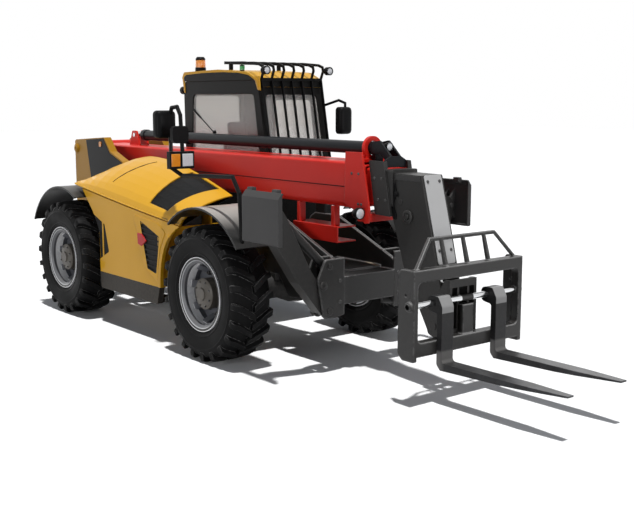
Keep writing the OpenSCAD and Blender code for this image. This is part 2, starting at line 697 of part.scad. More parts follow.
module cab_interior() {
    y = (cab_y0 + cab_y1) / 2;
    floor_z = cab_floor + cab_wall;
    placed(rubber) scale([bay, 1, 1]) {
        block([-1780, y - 180, floor_z], [-1400, y + 180, seat_z - seat_gap]);
        block([-1800, cab_y0 + cab_wall, floor_z], [-1100, y - 262, 1420]);
        side_extrude(y - 150, y + 150)
            polygon([[-960, floor_z], [-900, floor_z], [-880, 1480], [-1010, 1520], [-1060, 1460]]);
        rod_between([-1000, y, 1470], [-1110, y, 1590], 26);
        translate([-1110, y, 1590]) rotate([0, -42.5, 0]) {
            rotate_extrude() translate([185, 0]) circle(r = 15, $fn = 20);
            translate([0, 0, -10]) cylinder(h = 24, r = 40);
            for (a = [0:120:240]) rotate([0, 0, a]) block([0, -16, -7], [188, 16, 7]);
        }
    }
}
module seat() {
    y = (cab_y0 + cab_y1) / 2;
    placed(rubber) scale([bay, 1, 1]) {
        side_extrude(y - 240, y + 240)
            polygon(rounded([[-1860, seat_z, 30], [-1860, seat_z + 105, 30], [-1330, seat_z + 135, 50],
                [-1320, seat_z, 30]]));
        side_extrude(y - 230, y + 230)
            polygon(rounded([[-1860, seat_z + 90, 0], [-1990, seat_z + 735, 40], [-1900, seat_z + 750, 40],
                [-1740, seat_z + 90, 0]]));
        side_extrude(y - 140, y + 140)
            polygon(rounded([[-1985, seat_z + 725, 0], [-2010, seat_z + 925, 40], [-1930, seat_z + 930, 40],
                [-1905, seat_z + 735, 0]]));
    }
}
module cab_door() {
    w = cab_wall;
    placed(dark) scale([bay, 1, 1]) {
        difference() {
            side_extrude(cab_y1 - w, cab_y1) polygon(rounded(door_line));
            side_extrude(cab_y1 - w - 1, cab_y1 + 1) polygon(rounded(door_window));
            side_extrude(cab_y1 - w - 1, cab_y1 + 1)
                polygon(rounded([[-1800, 1090, 40], [-1800, 1390, 40], [-945, 1390, 40],
                    [-965, 1090, 40]]));
        }
        for (z = door_hinge_z) {
            block([door_pin[0], door_pin[1] - 8, z + 20], [-1860, door_pin[1] + 8, z + 40]);
            block([-1880, cab_y1 - 1, z + 20], [-1860, door_pin[1] + 8, z + 40]);
            translate([door_pin[0], door_pin[1], z]) cylinder(h = 60, r = hinge_r);
        }
        block([-1010, cab_y1 - 1, 1415], [-960, cab_y1 + 34, 1435]);
    }
}
module door_glass() {
    y = cab_y1 - cab_wall / 2;
    placed(glass) scale([bay, 1, 1]) {
        side_extrude(y, y + glass_t) polygon(rounded(grow(door_window, -seat_gap)));
        side_extrude(y, y + glass_t)
            polygon(rounded(grow([[-1800, 1090, 40], [-1800, 1390, 40], [-945, 1390, 40],
                [-965, 1090, 40]], -seat_gap)));
    }
}
module work_lamp(p) {
    translate(p) {
        x_rod(0, 0, 44, 0, 46);
        x_rod(0, 0, 30, -22, 2);
    }
}
module lamps() {
    rear_z = 2500;
    placed(rubber) {
        scale([bay, 1, 1]) {
            translate([-2230, cab_y0 + 110, roof_z - 5]) {
                cylinder(h = 45, r = 62);
                translate([0, 0, 44]) cylinder(h = 100, r = 56);
                translate([0, 0, 143]) cylinder(h = 22, r1 = 56, r2 = 40);
            }
            translate([-1300, cab_y0 + 40, roof_z - 15]) cylinder(h = 60, r = 26);
            for (y = [cab_y0 + 40, cab_y1 - 40]) {
                block([-2450, y - 30, rear_z - 20], [cab_back(rear_z + 20) - seat_gap, y + 30, rear_z + 20]);
                translate([-2449, y, rear_z]) rotate([0, 0, 180]) work_lamp([0, 0, 0]);
            }
            for (y = [cab_y0 + 6, cab_y1 - 6]) work_lamp([guard_x + 22 + seat_gap, y, guard_z]);
        }
        pair() block([tower_x0 - 30, 240, 880], [tower_x0, 400, 980]);
    }
}
module mirrors() {
    y = -1050;
    placed(rubber) scale([bay, 1, 1]) {
        clear_x = hood_x1 + 27;
        foot = fender_r + fender_t;
        run = [[foot * cos(43), y, axle_z + foot * sin(43)], [555, y, 1600], [455, y, 1735], [-380, y, 1700], [clear_x, y - 90, 1780],
            [clear_x + 6, y - 84, 1900], [-575, y, 1990], [-590, y, 2230], [-545, y, 2325], [-450, y, 2335],
            [-395, y, 2260], [-365, y, 1880]];
        difference() {
            tube_run(run, 19);
            y_rod(0, axle_z, fender_r + fender_t + seat_gap, -1200, -900);
        }
        cross_extrude(-640, -596)
            polygon(rounded(rect_r(y - 150, 2040, y + 60, 2300, 40)));
        cross_extrude(-400, -352)
            polygon(rounded(rect_r(y - 110, 2000, y + 60, 2160, 40)));
        block([-400, y - 150, 1766], [-340, y + 110, 1926]);
        block([-962, cab_y1 + seat_gap, 2296], [-926, cab_y1 + 22, 2364]);
        tube_run([[-944, cab_y1 + 18, 2330], [-700, cab_y1 + 34, 2390], [-600, cab_y1 + 40, 2360],
            [-600, cab_y1 + 40, 2100]], 14);
        cross_extrude(-640, -590)
            polygon(rounded(rect_r(cab_y1 - 60, 2030, cab_y1 + 110, 2320, 40)));
    }
}

// Boom
function boom_profile(w, z0, z1, r) = [[-w / 2, z0, r * 2], [w / 2, z0, r * 2], [w / 2, z1, r],
    [-w / 2, z1, r]];
module boom_tube(x0, x1, w, z0, z1) {
    t = boom_wall;
    difference() {
        cross_extrude(x0, x1) polygon(rounded(boom_profile(w, z0, z1, 22)));
        cross_extrude(x0 - 1, x1 + 1)
            polygon(rounded(boom_profile(w - 2 * t, z0 + t, z1 - t, 16)));
    }
}
module slide_pads(x0, x1, w, z0, z1) {
    g = slide_gap + 1;
    for (s = [-1, 1]) {
        a = w / 2 + run_gap;
        b = w / 2 + g;
        block([x0, s > 0 ? a : -b, z0 + 80], [x1, s > 0 ? b : -a, z1 - 60]);
    }
    block([x0, -w / 2 + 60, z0 - g], [x1, w / 2 - 60, z0 - run_gap]);
    block([x0, -w / 2 + 60, z1 + run_gap], [x1, w / 2 - 60, z1 + g]);
}
module boom_outer() {
    half = boom_w / 2;
    rear = pivot_x + 130;
    placed(red) {
        boom_tube(rear, boom_front, boom_w, boom_bottom, boom_top);
        slide_pads(boom_front - 110, boom_front, mid_w, mid_bottom, mid_top);
        cross_extrude(rear - 12, rear) polygon(rounded(boom_profile(boom_w, boom_bottom, boom_top, 22)));
        y_rod(pivot_x, pivot_z, pivot_r + 42, 5 - frame_y, frame_y - 5);
        y_rod(pivot_x, pivot_z, pivot_r, -tower_y - 12, tower_y + 12);
        pair() side_extrude(half - 30, half)
            polygon([[pivot_x - 60, pivot_z + 55], [rear + 40, boom_top - 22],
                [rear + 40, boom_bottom + 44], [rear - 10, boom_bottom + 30],
                [pivot_x - 80, pivot_z - 60]]);
        pair() side_extrude(half, half + 16)
            polygon([[960, boom_bottom + 40], [975, boom_top + 90], [1190, boom_top + 92],
                [1296, boom_bottom + 1], [1285, 1342], [1235, 1336], [1120, boom_bottom - 20]]);
        block([985, -half - 15, boom_top - 2], [1130, half + 15, boom_top + 30]);
        block([1140, -half - 15, 1350], [1270, half + 15, 1420]);
        difference() {
            union() {
                x_rod(0, extend_z, extend_r + 48, 1080, 1112);
                block([1080, -extend_r - 30, boom_top], [1112, extend_r + 30, extend_z]);
            }
            x_rod(0, extend_z, extend_r + 5, 1000, 1200);
        }
        pair() difference() {
            side_extrude(46, 66)
                polygon(rounded([[extend_x - 120, boom_top - 1, 0], [extend_x - 50, extend_z + 50, 30],
                    [extend_x + 50, extend_z + 50, 30], [extend_x + 120, boom_top - 1, 0]]));
            y_rod(extend_x, extend_z, 24 + pin_gap, 40, 70);
        }
        pair() side_extrude(lift_r + 9, lift_r + 35)
            polygon(rounded([[lift_eye[0] - 190, boom_bottom + 8, 0],
                [lift_eye[0] - 75, lift_eye[1] - 80, 40], [lift_eye[0] + 75, lift_eye[1] - 80, 40],
                [lift_eye[0] + 190, boom_bottom + 8, 0]]));
        difference() {
            block([210, -200, 1124], [860, 20, 1270]);
            block([200, -188, 1136], [870, 30, 1258]);
        }
        for (x = [260, 760]) block([x, -190, 1260], [x + 40, -120, boom_bottom + 1]);
    }
}
module boom_mid() {
    placed(red) {
        boom_tube(pivot_x + 366, mid_front, mid_w, mid_bottom, mid_top);
        slide_pads(mid_front - 110, mid_front, inner_w, inner_bottom, inner_top);
    }
}
module boom_inner() {
    placed(red) boom_tube(pivot_x + 566, inner_front, inner_w, inner_bottom, inner_top);
}
module head_side() {
    polygon(rounded([[1489, 1787, 0], [1840, 1783, 20], [1975, 1274, 0], [2120, 700, 60],
        [tilt_pin[0] + 90, tilt_z - 40, 50], [tilt_pin[0], tilt_z - 85, 60],
        [tilt_pin[0] - 100, tilt_z - 60, 60], [1649, 990, 40], [1500, 1416, 20]]));
}
module boom_head() {
    y = head_y;
    placed(dark) {
        pair() difference() {
            side_extrude(y - head_t, y) head_side();
            y_rod(tilt_pin[0], tilt_pin[1], 35 + pin_gap, y - head_t - 1, y + 1);
            y_rod(tilt_top[0], tilt_top[1], 22 + pin_gap, y - head_t - 1, y + 1);
        }
        side_extrude(1 - y, y - 1)
            polygon([[1489, 1787], [1838, 1783], [1836, 1755], [1510, 1757]]);
        side_extrude(1 - y, y - 1)
            polygon([[1838, 1783], [1975, 1274], [2029, 1060], [2013, 1056], [1960, 1270], [1822, 1773]]);
        side_extrude(1 - y, y - 1)
            polygon([[1500, 1416], [1649, 990], [1672, 1000], [1525, 1422]]);
        cross_extrude(inner_front, 1520)
            polygon(rounded(boom_profile(inner_w, inner_bottom, inner_top, 16)));
        pair() {
            side_extrude(y - 1, inner_w / 2 + seat_gap + 16)
                polygon(rounded([[inner_front, 1882, 0], [1421, 1882, 0], [1515, 1417, 12],
                    [inner_front, 1420, 0]]));
            side_extrude(inner_w / 2 + seat_gap, inner_w / 2 + seat_gap + 16)
                polygon(rounded([[1234, 1885, 12], [1422, 1882, 12], [1516, 1417, 12], [1320, 1423, 12]]));
        }
    }
}
module extend_rod() {
    placed(chrome) {
        x_rod(0, extend_z, rod_r, extend_x, 1000);
        y_rod(extend_x, extend_z, 44, -40, 40);
        y_rod(extend_x, extend_z, 24, -72, 72);
    }
}
module extend_barrel() {
    gland_x = extend_x + 145;
    placed(rubber) {
        difference() {
            union() {
                x_rod(0, extend_z, extend_r, gland_x, 1180);
                x_rod(0, extend_z, extend_r + 8, gland_x - 10, gland_x + 60);
            }
            x_rod(0, extend_z, rod_r + run_gap, gland_x - 50, 1030);
        }
        x_rod(0, extend_z, extend_r - 8, 1179, 1196);
        block([mid_front - 52, -44, mid_top + seat_gap], [mid_front - 2, 44, extend_z + 30]);
        pair() side_extrude(44 - 1, 60)
            polygon(rounded([[1144, 1930, 20], [1144, 2030, 30], [1262, 2052, 20], [1402, 1924, 12],
                [1402, 1880, 0], [1340, 1880, 0], [1250, 1940, 30]]));
        cross_extrude(1384, 1402)
            polygon([[-120, inner_top + 10], [-120, 1888], [-64, 1920], [64, 1920], [120, 1888],
                [120, inner_top + 10]]);
    }
}
// A cylinder's barrel with its foot eye and pin, along X from the foot
module barrel_shape(len, r, rod, eye, pin, eye_w, pin_w, axis) {
    difference() {
        union() {
            x_rod(0, 0, r, eye * 0.8, len);
            x_rod(0, 0, r + 7, len - 60, len);
            if (axis == "y") y_rod(0, 0, eye, -eye_w, eye_w);
            else translate([0, 0, -eye_w]) cylinder(h = 2 * eye_w, r = eye);
        }
        x_rod(0, 0, rod + run_gap, eye + 30, len + 1);
    }
    if (axis == "y") y_rod(0, 0, pin, -pin_w, pin_w);
    else translate([0, 0, -pin_w]) cylinder(h = 2 * pin_w, r = pin);
}
module rod_shape(x0, len, rod, eye, eye_w, axis) {
    x_rod(0, 0, rod, x0, len - eye * 0.5);
    if (axis == "y") y_rod(len, 0, eye, -eye_w, eye_w);
    else translate([len, 0, -eye_w]) cylinder(h = 2 * eye_w, r = eye);
}
module lift_barrel() {
    placed(dark) along_side(lift_foot, lift_ang)
        barrel_shape(lift_len - 130, lift_r, lift_rod_r, 62, 30, lift_r + 4, lift_r + 43, "y");
}
module lift_rod() {
    placed(chrome) along_side(lift_foot, lift_ang)
        rod_shape(150, lift_len, lift_rod_r, 58, lift_r + 4, "y");
}
module tilt_barrel() {
    placed(dark) along_side(tilt_top, tilt_ang)
        barrel_shape(tilt_len - 100, 38, 24, 40, 22, 60, head_y + 4, "y");
}
module tilt_rod() {
    placed(chrome) along_side(tilt_top, tilt_ang)
        rod_shape(140, tilt_len, 24, 40, 40, "y");
}

// Carriage
module coupler() {
    x1 = carriage_x - 80;
    placed(dark) {
        y_rod(tilt_pin[0], tilt_pin[1], 35, -head_y - 44, head_y + 44);
        pair() {
            side_extrude(head_y + 8, head_y + 36)
                polygon(rounded([[tilt_pin[0] - 70, tilt_z - 70, 50], [tilt_pin[0] - 70, tilt_z + 70, 50],
                    [x1 - 60, 960, 20], [x1, 960, 0], [x1, 420, 0], [x1 - 40, 420, 0]]));
            side_extrude(48, 70)
                polygon(rounded([[tilt_pin[0] - 40, tilt_z - 45, 40],
                    [tilt_eye[0] - 52, tilt_eye[1] + 20, 40], [tilt_eye[0] + 20, tilt_eye[1] + 55, 40],
                    [x1 - 40, 900, 0], [x1, 900, 0], [x1, 560, 0]]));
        }
        block([x1 - 30, -head_y - 36, 900], [x1, head_y + 36, 960]);
        block([x1 - 30, -head_y - 36, 420], [x1, head_y + 36, 470]);
        block([x1 - 24, -head_y - 36, 470], [x1, head_y + 36, 560]);
    }
}
module carriage() {
    x1 = carriage_x;
    w = carriage_w / 2;
    shaft_x = x1 - 50;
    placed(dark) {
        pair() difference() {
            side_extrude(w - 34, w)
                polygon(rounded([[x1 - 180, 420, 30], [x1 - 180, 1060, 30], [x1 - 150, 1102, 20],
                    [x1, 1102, 10], [x1, 376, 10], [x1 - 130, 376, 20]]));
            side_extrude(w - 35, w + 1)
                polygon(rounded(rect_r(x1 - 56, 868, x1 - 30, 948, 12.5)));
            y_rod(x1 - 95, 900, 11, w - 35, w + 1);
        }
        difference() {
            cross_extrude(x1 - 80, x1) polygon([[1 - w, 413], [w - 1, 413], [w - 1, 1100], [1 - w, 1100]]);
            cross_extrude(x1 - 81, x1 + 1) polygon(rounded(rect_r(44 - w, 524, w - 44, 1002, 45)));
        }
        y_rod(shaft_x, shaft_z, shaft_r, -w - 26, w + 26);
        pair() y_rod(shaft_x, shaft_z, shaft_r + 12, w - 1, w + 18);
        block([x1 - 80, -60, 523], [x1 - 20, 60, shaft_z - 50]);
        block([x1 - 118, -380, 1300], [x1 - 92, 380, 1330]);
        for (y = [-248, 0, 248]) side_extrude(y - 11, y + 11)
            polygon([[x1 - 60, 1090], [x1 - 20, 1090], [x1 - 92, 1325], [x1 - 118, 1325]]);
        pair() intersection() {
            side_extrude(300, 640)
                polygon([[x1 - 55, 1080], [x1 - 25, 1080], [x1 - 92, 1330], [x1 - 118, 1330]]);
            cross_extrude(x1 - 200, x1)
                polygon([[600, 1080], [600 - 30, 1080], [350, 1330], [380, 1330]]);
        }
    }
}
module fork_side() {
    x0 = carriage_x + seat_gap;
    x1 = x0 + fork_t;
    tip = x1 + fork_len;
    sx = carriage_x - 50;
    polygon(rounded([[sx - 60, shaft_z + 55, 40], [x0 + 10, shaft_z + 58, 20],
        [x1, shaft_z - 20, 50], [x1, 345, 30], [tip, 345, 0], [tip, 333, 0], [x1 + 600, 300, 0],
        [x0 + 40, 284, 0], [x0, 324, 40], [x0, shaft_z - 80, 20], [sx - 60, shaft_z - 62, 40]]));
}
module forks() {
    sx = carriage_x - 50;
    placed(dark) pair() difference() {
        side_extrude(fork_y - fork_w / 2, fork_y + fork_w / 2) fork_side();
        y_rod(sx, shaft_z, shaft_r + seat_gap, fork_y - fork_w, fork_y + fork_w);
        plan_extrude(200, 420)
            polygon([[carriage_x + 800, fork_y + 70], [carriage_x + fork_len + 100, fork_y + 30],
                [carriage_x + fork_len + 100, fork_y + 90], [carriage_x + 800, fork_y + 90]]);
        plan_extrude(200, 420)
            polygon([[carriage_x + 800, fork_y - 70], [carriage_x + 800, fork_y - 90],
                [carriage_x + fork_len + 100, fork_y - 90], [carriage_x + fork_len + 100, fork_y - 30]]);
    }
}

// Stabilisers, drawn for the left side
module arm_plan() {
    polygon(rounded([[-55, -70, 50], [420, -105, 60], [860, -90, 40], [1060, -48, 30],
        [1078, 60, 30], [1060, 130, 40], [960, 130, 40], [420, 62, 80], [-55, 70, 50]]));
}
module arm_web() {
    polygon([[30, -76], [420, -105], [840, -91], [840, -78], [420, -91], [30, -62]]);
}
module stab_arm_shape() {
    along_cross(arm_pin, arm_ang) {
        for (z = [-stab_half, stab_half - arm_t]) difference() {
            translate([0, 0, z]) linear_extrude(arm_t) arm_plan();
            translate([arm_len, 0, z - 1]) cylinder(h = arm_t + 2, r = pad_pin_r + pin_gap);
        }
        translate([0, 0, -stab_half]) linear_extrude(2 * stab_half) arm_web();
        translate([0, 0, -stab_half - ear_t - 12]) cylinder(h = 2 * (stab_half + ear_t + 12), r = stab_pin_r);
        translate([0, 0, -stab_half]) cylinder(h = 2 * stab_half, r = 55);
    }
}
module stab_barrel_shape() {
    along_cross(cyl_foot, cyl_ang)
        barrel_shape(cyl_len - 66, 40, 24, 42, pad_pin_r, 44, ear_half + ear_t + 8, "z");
}
module stab_rod_shape() {
    along_cross(cyl_foot, cyl_ang) rod_shape(76, cyl_len, 24, 38, 29, "z");
}
module stab_pad_shape() {
    x0 = stab_x - 270;
    x1 = stab_x + 245;
    cross_extrude(x0, x1)
        polygon([[pad_y, 1220], [pad_y, 1600], [pad_y - 40, 1650], [pad_y - 55, 1645],
            [pad_y - 18, 1594], [pad_y - 18, 1232], [pad_y - 40, 1226], [pad_y - 40, 1210],
            [pad_y - 12, 1210]]);
    for (x = [x0, x1 - 14]) cross_extrude(x, x + 14)
        polygon([[pad_y - 1, 1216], [pad_y - 1, 1596], [pad_y - 42, 1640], [pad_y - 42, 1226]]);
    for (x = [x0 + 12, x1 - 150]) cross_extrude(x, x + 70)
        polygon([[pad_y - 40, 1632], [pad_y - 52, 1672], [pad_y - 92, 1672], [pad_y - 92, 1630],
            [pad_y - 52, 1618]]);
    for (x = [stab_x - 50, stab_x + 30]) cross_extrude(x, x + 20)
        polygon(rounded([[pad_y - 10, 1262, 0], [pad_y - 10, 1560, 0],
            [pad_pin[0] - 34, pad_pin[1] + 34, 34], [pad_pin[0] - 34, pad_pin[1] - 34, 34]]));
    x_rod(pad_pin[0], pad_pin[1], pad_pin_r, stab_x - stab_half - 10, stab_x + stab_half + 10);
}
module stab_arm_l() {
    placed(dark) stab_arm_shape();
}
module stab_arm_r() {
    placed(dark) mirror([0, 1, 0]) stab_arm_shape();
}
module stab_barrel_l() {
    placed(rubber) stab_barrel_shape();
}
module stab_barrel_r() {
    placed(rubber) mirror([0, 1, 0]) stab_barrel_shape();
}
module stab_rod_l() {
    placed(chrome) stab_rod_shape();
}
module stab_rod_r() {
    placed(chrome) mirror([0, 1, 0]) stab_rod_shape();
}
module stab_pad_l() {
    placed(dark) stab_pad_shape();
}
module stab_pad_r() {
    placed(dark) mirror([0, 1, 0]) stab_pad_shape();
}

// Wheels
module knuckle_fl() {
    placed(steel) knuckle_shape(0, 1);
}
module knuckle_fr() {
    placed(steel) knuckle_shape(0, -1);
}
module knuckle_rl() {
    placed(steel) knuckle_shape(rear_x, 1);
}
module knuckle_rr() {
    placed(steel) knuckle_shape(rear_x, -1);
}
module rim_fl() {
    placed(steel) at_wheel(0, 1) rim_shape();
}
module rim_fr() {
    placed(steel) at_wheel(0, -1) rim_shape();
}
module rim_rl() {
    placed(steel) at_wheel(rear_x, 1) rim_shape();
}
module rim_rr() {
    placed(steel) at_wheel(rear_x, -1) rim_shape();
}
module tyre_fl() {
    placed(rubber) at_wheel(0, 1) tyre_shape();
}
module tyre_fr() {
    placed(rubber) at_wheel(0, -1) tyre_shape();
}
module tyre_rl() {
    placed(rubber) at_wheel(rear_x, 1) tyre_shape();
}
module tyre_rr() {
    placed(rubber) at_wheel(rear_x, -1) tyre_shape();
}

chassis_frame();
boom_towers();
tow_hitch();
axles();
fenders();
engine();
hood_side();
hood();
hood_grille();
side_boxes();
cab_shell();
cab_roof();
cab_glass();
cab_guard();
cab_interior();
seat();
cab_door();
door_glass();
lamps();
mirrors();
knuckle_fl();
knuckle_fr();
knuckle_rl();
knuckle_rr();
rim_fl();
rim_fr();
rim_rl();
rim_rr();
tyre_fl();
tyre_fr();
tyre_rl();
tyre_rr();
boom_outer();
boom_mid();
boom_inner();
boom_head();
extend_rod();
extend_barrel();
lift_barrel();
lift_rod();
tilt_barrel();
tilt_rod();
coupler();
carriage();
forks();
stab_arm_l();
stab_arm_r();
stab_barrel_l();
stab_barrel_r();
stab_rod_l();
stab_rod_r();
stab_pad_l();
stab_pad_r();
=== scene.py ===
import math

import bmesh
import bpy
from mathutils import Matrix, Vector


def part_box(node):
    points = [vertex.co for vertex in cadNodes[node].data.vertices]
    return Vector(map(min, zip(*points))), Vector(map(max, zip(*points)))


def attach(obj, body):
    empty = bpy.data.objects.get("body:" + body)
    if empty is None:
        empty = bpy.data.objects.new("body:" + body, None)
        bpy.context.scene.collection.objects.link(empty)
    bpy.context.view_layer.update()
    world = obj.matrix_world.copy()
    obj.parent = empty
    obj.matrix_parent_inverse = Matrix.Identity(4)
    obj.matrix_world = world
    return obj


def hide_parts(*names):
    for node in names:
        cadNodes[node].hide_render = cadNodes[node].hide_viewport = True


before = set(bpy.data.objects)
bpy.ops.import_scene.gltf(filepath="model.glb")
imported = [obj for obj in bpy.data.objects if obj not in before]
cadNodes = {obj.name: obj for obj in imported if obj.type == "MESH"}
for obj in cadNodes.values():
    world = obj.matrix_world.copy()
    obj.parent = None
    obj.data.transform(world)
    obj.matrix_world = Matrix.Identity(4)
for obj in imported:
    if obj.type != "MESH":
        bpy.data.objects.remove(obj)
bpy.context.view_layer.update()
scene = bpy.context.scene
axleX = 0.23         # front axle ahead of the machine's middle; lengths below count from that axle
rearX = -2.86        # wheelbase
wheelOut = 0.935     # tyre's middle from the machine's
wheelUp = 0.635      # axle's height
toFront, toRear = (1, 0, 0), (-1, 0, 0)     # directions on the machine
toLeft, toRight, toTop = (0, 1, 0), (0, -1, 0), (0, 0, 1)
print("frame loaded,", len(cadNodes), "nodes")


# mesh helpers: a part is a list of points and a list of faces

def joined(parts):
    points, faces = [], []
    for somePoints, someFaces in parts:
        start = len(points)
        points += [tuple(p) for p in somePoints]
        faces += [[i + start for i in face] for face in someFaces]
    return points, faces


def boxPart(low, high):
    (x0, y0, z0), (x1, y1, z1) = low, high
    points = [(x, y, z) for x in (x0, x1) for y in (y0, y1) for z in (z0, z1)]
    faces = [[0, 1, 3, 2], [4, 6, 7, 5], [0, 4, 5, 1], [2, 3, 7, 6], [0, 2, 6, 4], [1, 5, 7, 3]]
    return points, faces


# quads over rings of points that follow one another
def skinFaces(rings, count, closed=False):
    faces = []
    for k in range(rings if closed else rings - 1):
        for i in range(count):
            j, n = (i + 1) % count, (k + 1) % rings
            faces.append([k * count + i, k * count + j, n * count + j, n * count + i])
    return faces


# the same with a cap on each end
def chainFaces(rings, count=4):
    last = (rings - 1) * count
    return skinFaces(rings, count) + [list(range(count)), list(range(last, last + count))]


def platePart(outline, axis, low, high):
    def spot(p, h):
        return {"x": (h, p[0], p[1]), "y": (p[0], h, p[1]), "z": (p[0], p[1], h)}[axis]
    count = len(outline)
    points = [spot(p, h) for h in (low, high) for p in outline]
    caps = [list(range(count)), list(range(2 * count - 1, count - 1, -1))]
    return points, caps + skinFaces(2, count)


def sidesOf(axis):
    along = Vector(axis).normalized()
    helper = Vector(toTop if abs(along.z) < 0.9 else toFront)
    first = along.cross(helper).normalized()
    return along, first, along.cross(first)


def turnedPart(profile, centre, axis, steps):
    along, first, second = sidesOf(axis)
    points = []
    for radius, height in profile:
        for i in range(steps):
            a = 2 * math.pi * i / steps
            spoke = first * math.cos(a) + second * math.sin(a)
            points.append(Vector(centre) + along * height + spoke * radius)
    faces = skinFaces(len(profile), steps)
    for k in (0, len(profile) - 1):
        if profile[k][0] > 1e-6:
            faces.append([k * steps + i for i in range(steps)])
    return points, faces


def ringPart(profile, centre, axis, steps):
    points, faces = turnedPart(profile + [profile[0]], centre, axis, steps)
    return points, faces[:-2]


def tubePart(path, radius, sides):
    path = [Vector(p) for p in path]
    points = []
    _, first, _ = sidesOf(path[1] - path[0])
    for i, p in enumerate(path):
        ahead = (path[min(i + 1, len(path) - 1)] - path[max(i - 1, 0)]).normalized()
        first = (first - ahead * first.dot(ahead)).normalized()
        second = ahead.cross(first)
        for k in range(sides):
            a = 2 * math.pi * k / sides
            points.append(p + (first * math.cos(a) + second * math.sin(a)) * radius)
    return points, chainFaces(len(path), sides)


def boltPart(place, axis, across, tall):
    rim, top = across * 0.72, across * 0.577     # washer, hexagon
    washer = turnedPart([(0, -0.002), (rim, -0.002), (rim, 0.003), (0, 0.003)], place, axis, 16)
    head = turnedPart([(0, 0.002), (top, 0.002), (top, tall - 0.002), (top * 0.86, tall), (0, tall)],
                      place, axis, 6)
    return joined([washer, head])


def boltRow(places, axis, across, tall):
    return joined([boltPart(p, axis, across, tall) for p in places])


def bothSides(part):
    points, faces = part
    return joined([part, ([(x, -y, z) for x, y, z in points], faces)])


def addPiece(name, part, look, body, edge=0.0, smooth=38.0, replaced=()):
    points, faces = part
    mesh = bpy.data.meshes.new(name)
    mesh.from_pydata([(p[0] + axleX, p[1], p[2]) for p in points], [], faces)
    work = bmesh.new()
    work.from_mesh(mesh)
    bmesh.ops.remove_doubles(work, verts=work.verts, dist=1e-6)
    bmesh.ops.dissolve_degenerate(work, edges=work.edges, dist=1e-7)
    bmesh.ops.recalc_face_normals(work, faces=work.faces)
    work.to_mesh(mesh)
    work.free()
    mesh.shade_smooth()
    mesh.set_sharp_from_angle(angle=math.radians(smooth))
    mesh.materials.append(finish[look])
    obj = bpy.data.objects.new(name, mesh)
    scene.collection.objects.link(obj)
    if edge:
        soft = obj.modifiers.new("softEdge", "BEVEL")
        soft.width = edge
        soft.segments = 2
        soft.limit_method = "ANGLE"
        soft.angle_limit = math.radians(smooth)
    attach(obj, body)
    if replaced:
        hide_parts(*replaced)
    return obj


# shader helpers: a new node goes into the tree of the socket or node that it is given
socketKinds = {"Colour": "NodeSocketColor", "Normal": "NodeSocketVector"}     # other outputs are values


def newGroup(name, inputs, outputs):
    tree = bpy.data.node_groups.new(name, "ShaderNodeTree")
    for label, value in inputs.items():
        kind = "NodeSocketColor" if isinstance(value, tuple) else "NodeSocketFloat"
        socket = tree.interface.new_socket(name=label, in_out="INPUT", socket_type=kind)
        socket.default_value = value
    for label in outputs:
        tree.interface.new_socket(name=label, in_out="OUTPUT",
                                  socket_type=socketKinds.get(label, "NodeSocketFloat"))
    return tree, tree.nodes.new("NodeGroupInput").outputs, tree.nodes.new("NodeGroupOutput")


def addNode(tree, kind, **settings):
    node = tree.nodes.new(kind)
    for key, value in settings.items():
        setattr(node, key, value)
    return node


def feed(target, source):
    if hasattr(source, "is_output"):
        target.id_data.links.new(source, target)
    else:
        target.default_value = source


def setInputs(node, **values):
    for key, value in values.items():
        feed(node.inputs[key.replace("_", " ")], value)


def mathOf(how, first, *others, clamp=False):
    node = addNode(first.id_data, "ShaderNodeMath", operation=how, use_clamp=clamp)
    for socket, value in zip(node.inputs, (first,) + others):
        feed(socket, value)
    return node.outputs[0]


def times(first, second, clamp=False):
    return mathOf("MULTIPLY", first, second, clamp=clamp)


def plus(first, second):
    return mathOf("ADD", first, second)


def objectSpot(tree):
    return addNode(tree, "ShaderNodeTexCoord").outputs["Object"]


def noiseOf(tree, scale, detail, rough=0.55):
    noise = addNode(tree, "ShaderNodeTexNoise")
    setInputs(noise, Vector=objectSpot(tree), Scale=scale, Detail=detail, Roughness=rough)
    return noise.outputs["Fac"]


def rangeOf(value, low, high, toLow=0.0, toHigh=1.0):
    node = addNode(value.id_data, "ShaderNodeMapRange")
    setInputs(node, Value=value, From_Min=low, From_Max=high, To_Min=toLow, To_Max=toHigh)
    return node.outputs["Result"]


def mixColour(amount, first, second, how="MIX"):
    node = addNode(amount.id_data, "ShaderNodeMix", data_type="RGBA", blend_type=how)
    setInputs(node, Factor=amount, A=first, B=second)
    return node.outputs["Result"]


def toneStep(value, low, high, first, second):
    return mixColour(rangeOf(value, low, high), first, second)


def splitVector(vector):
    parts = addNode(vector.id_data, "ShaderNodeSeparateXYZ")
    feed(parts.inputs[0], vector)
    return parts.outputs


def spotParts(tree):
    return splitVector(objectSpot(tree))


def faceNormal(tree):
    return addNode(tree, "ShaderNodeNewGeometry").outputs["Normal"]


# shared surface effects

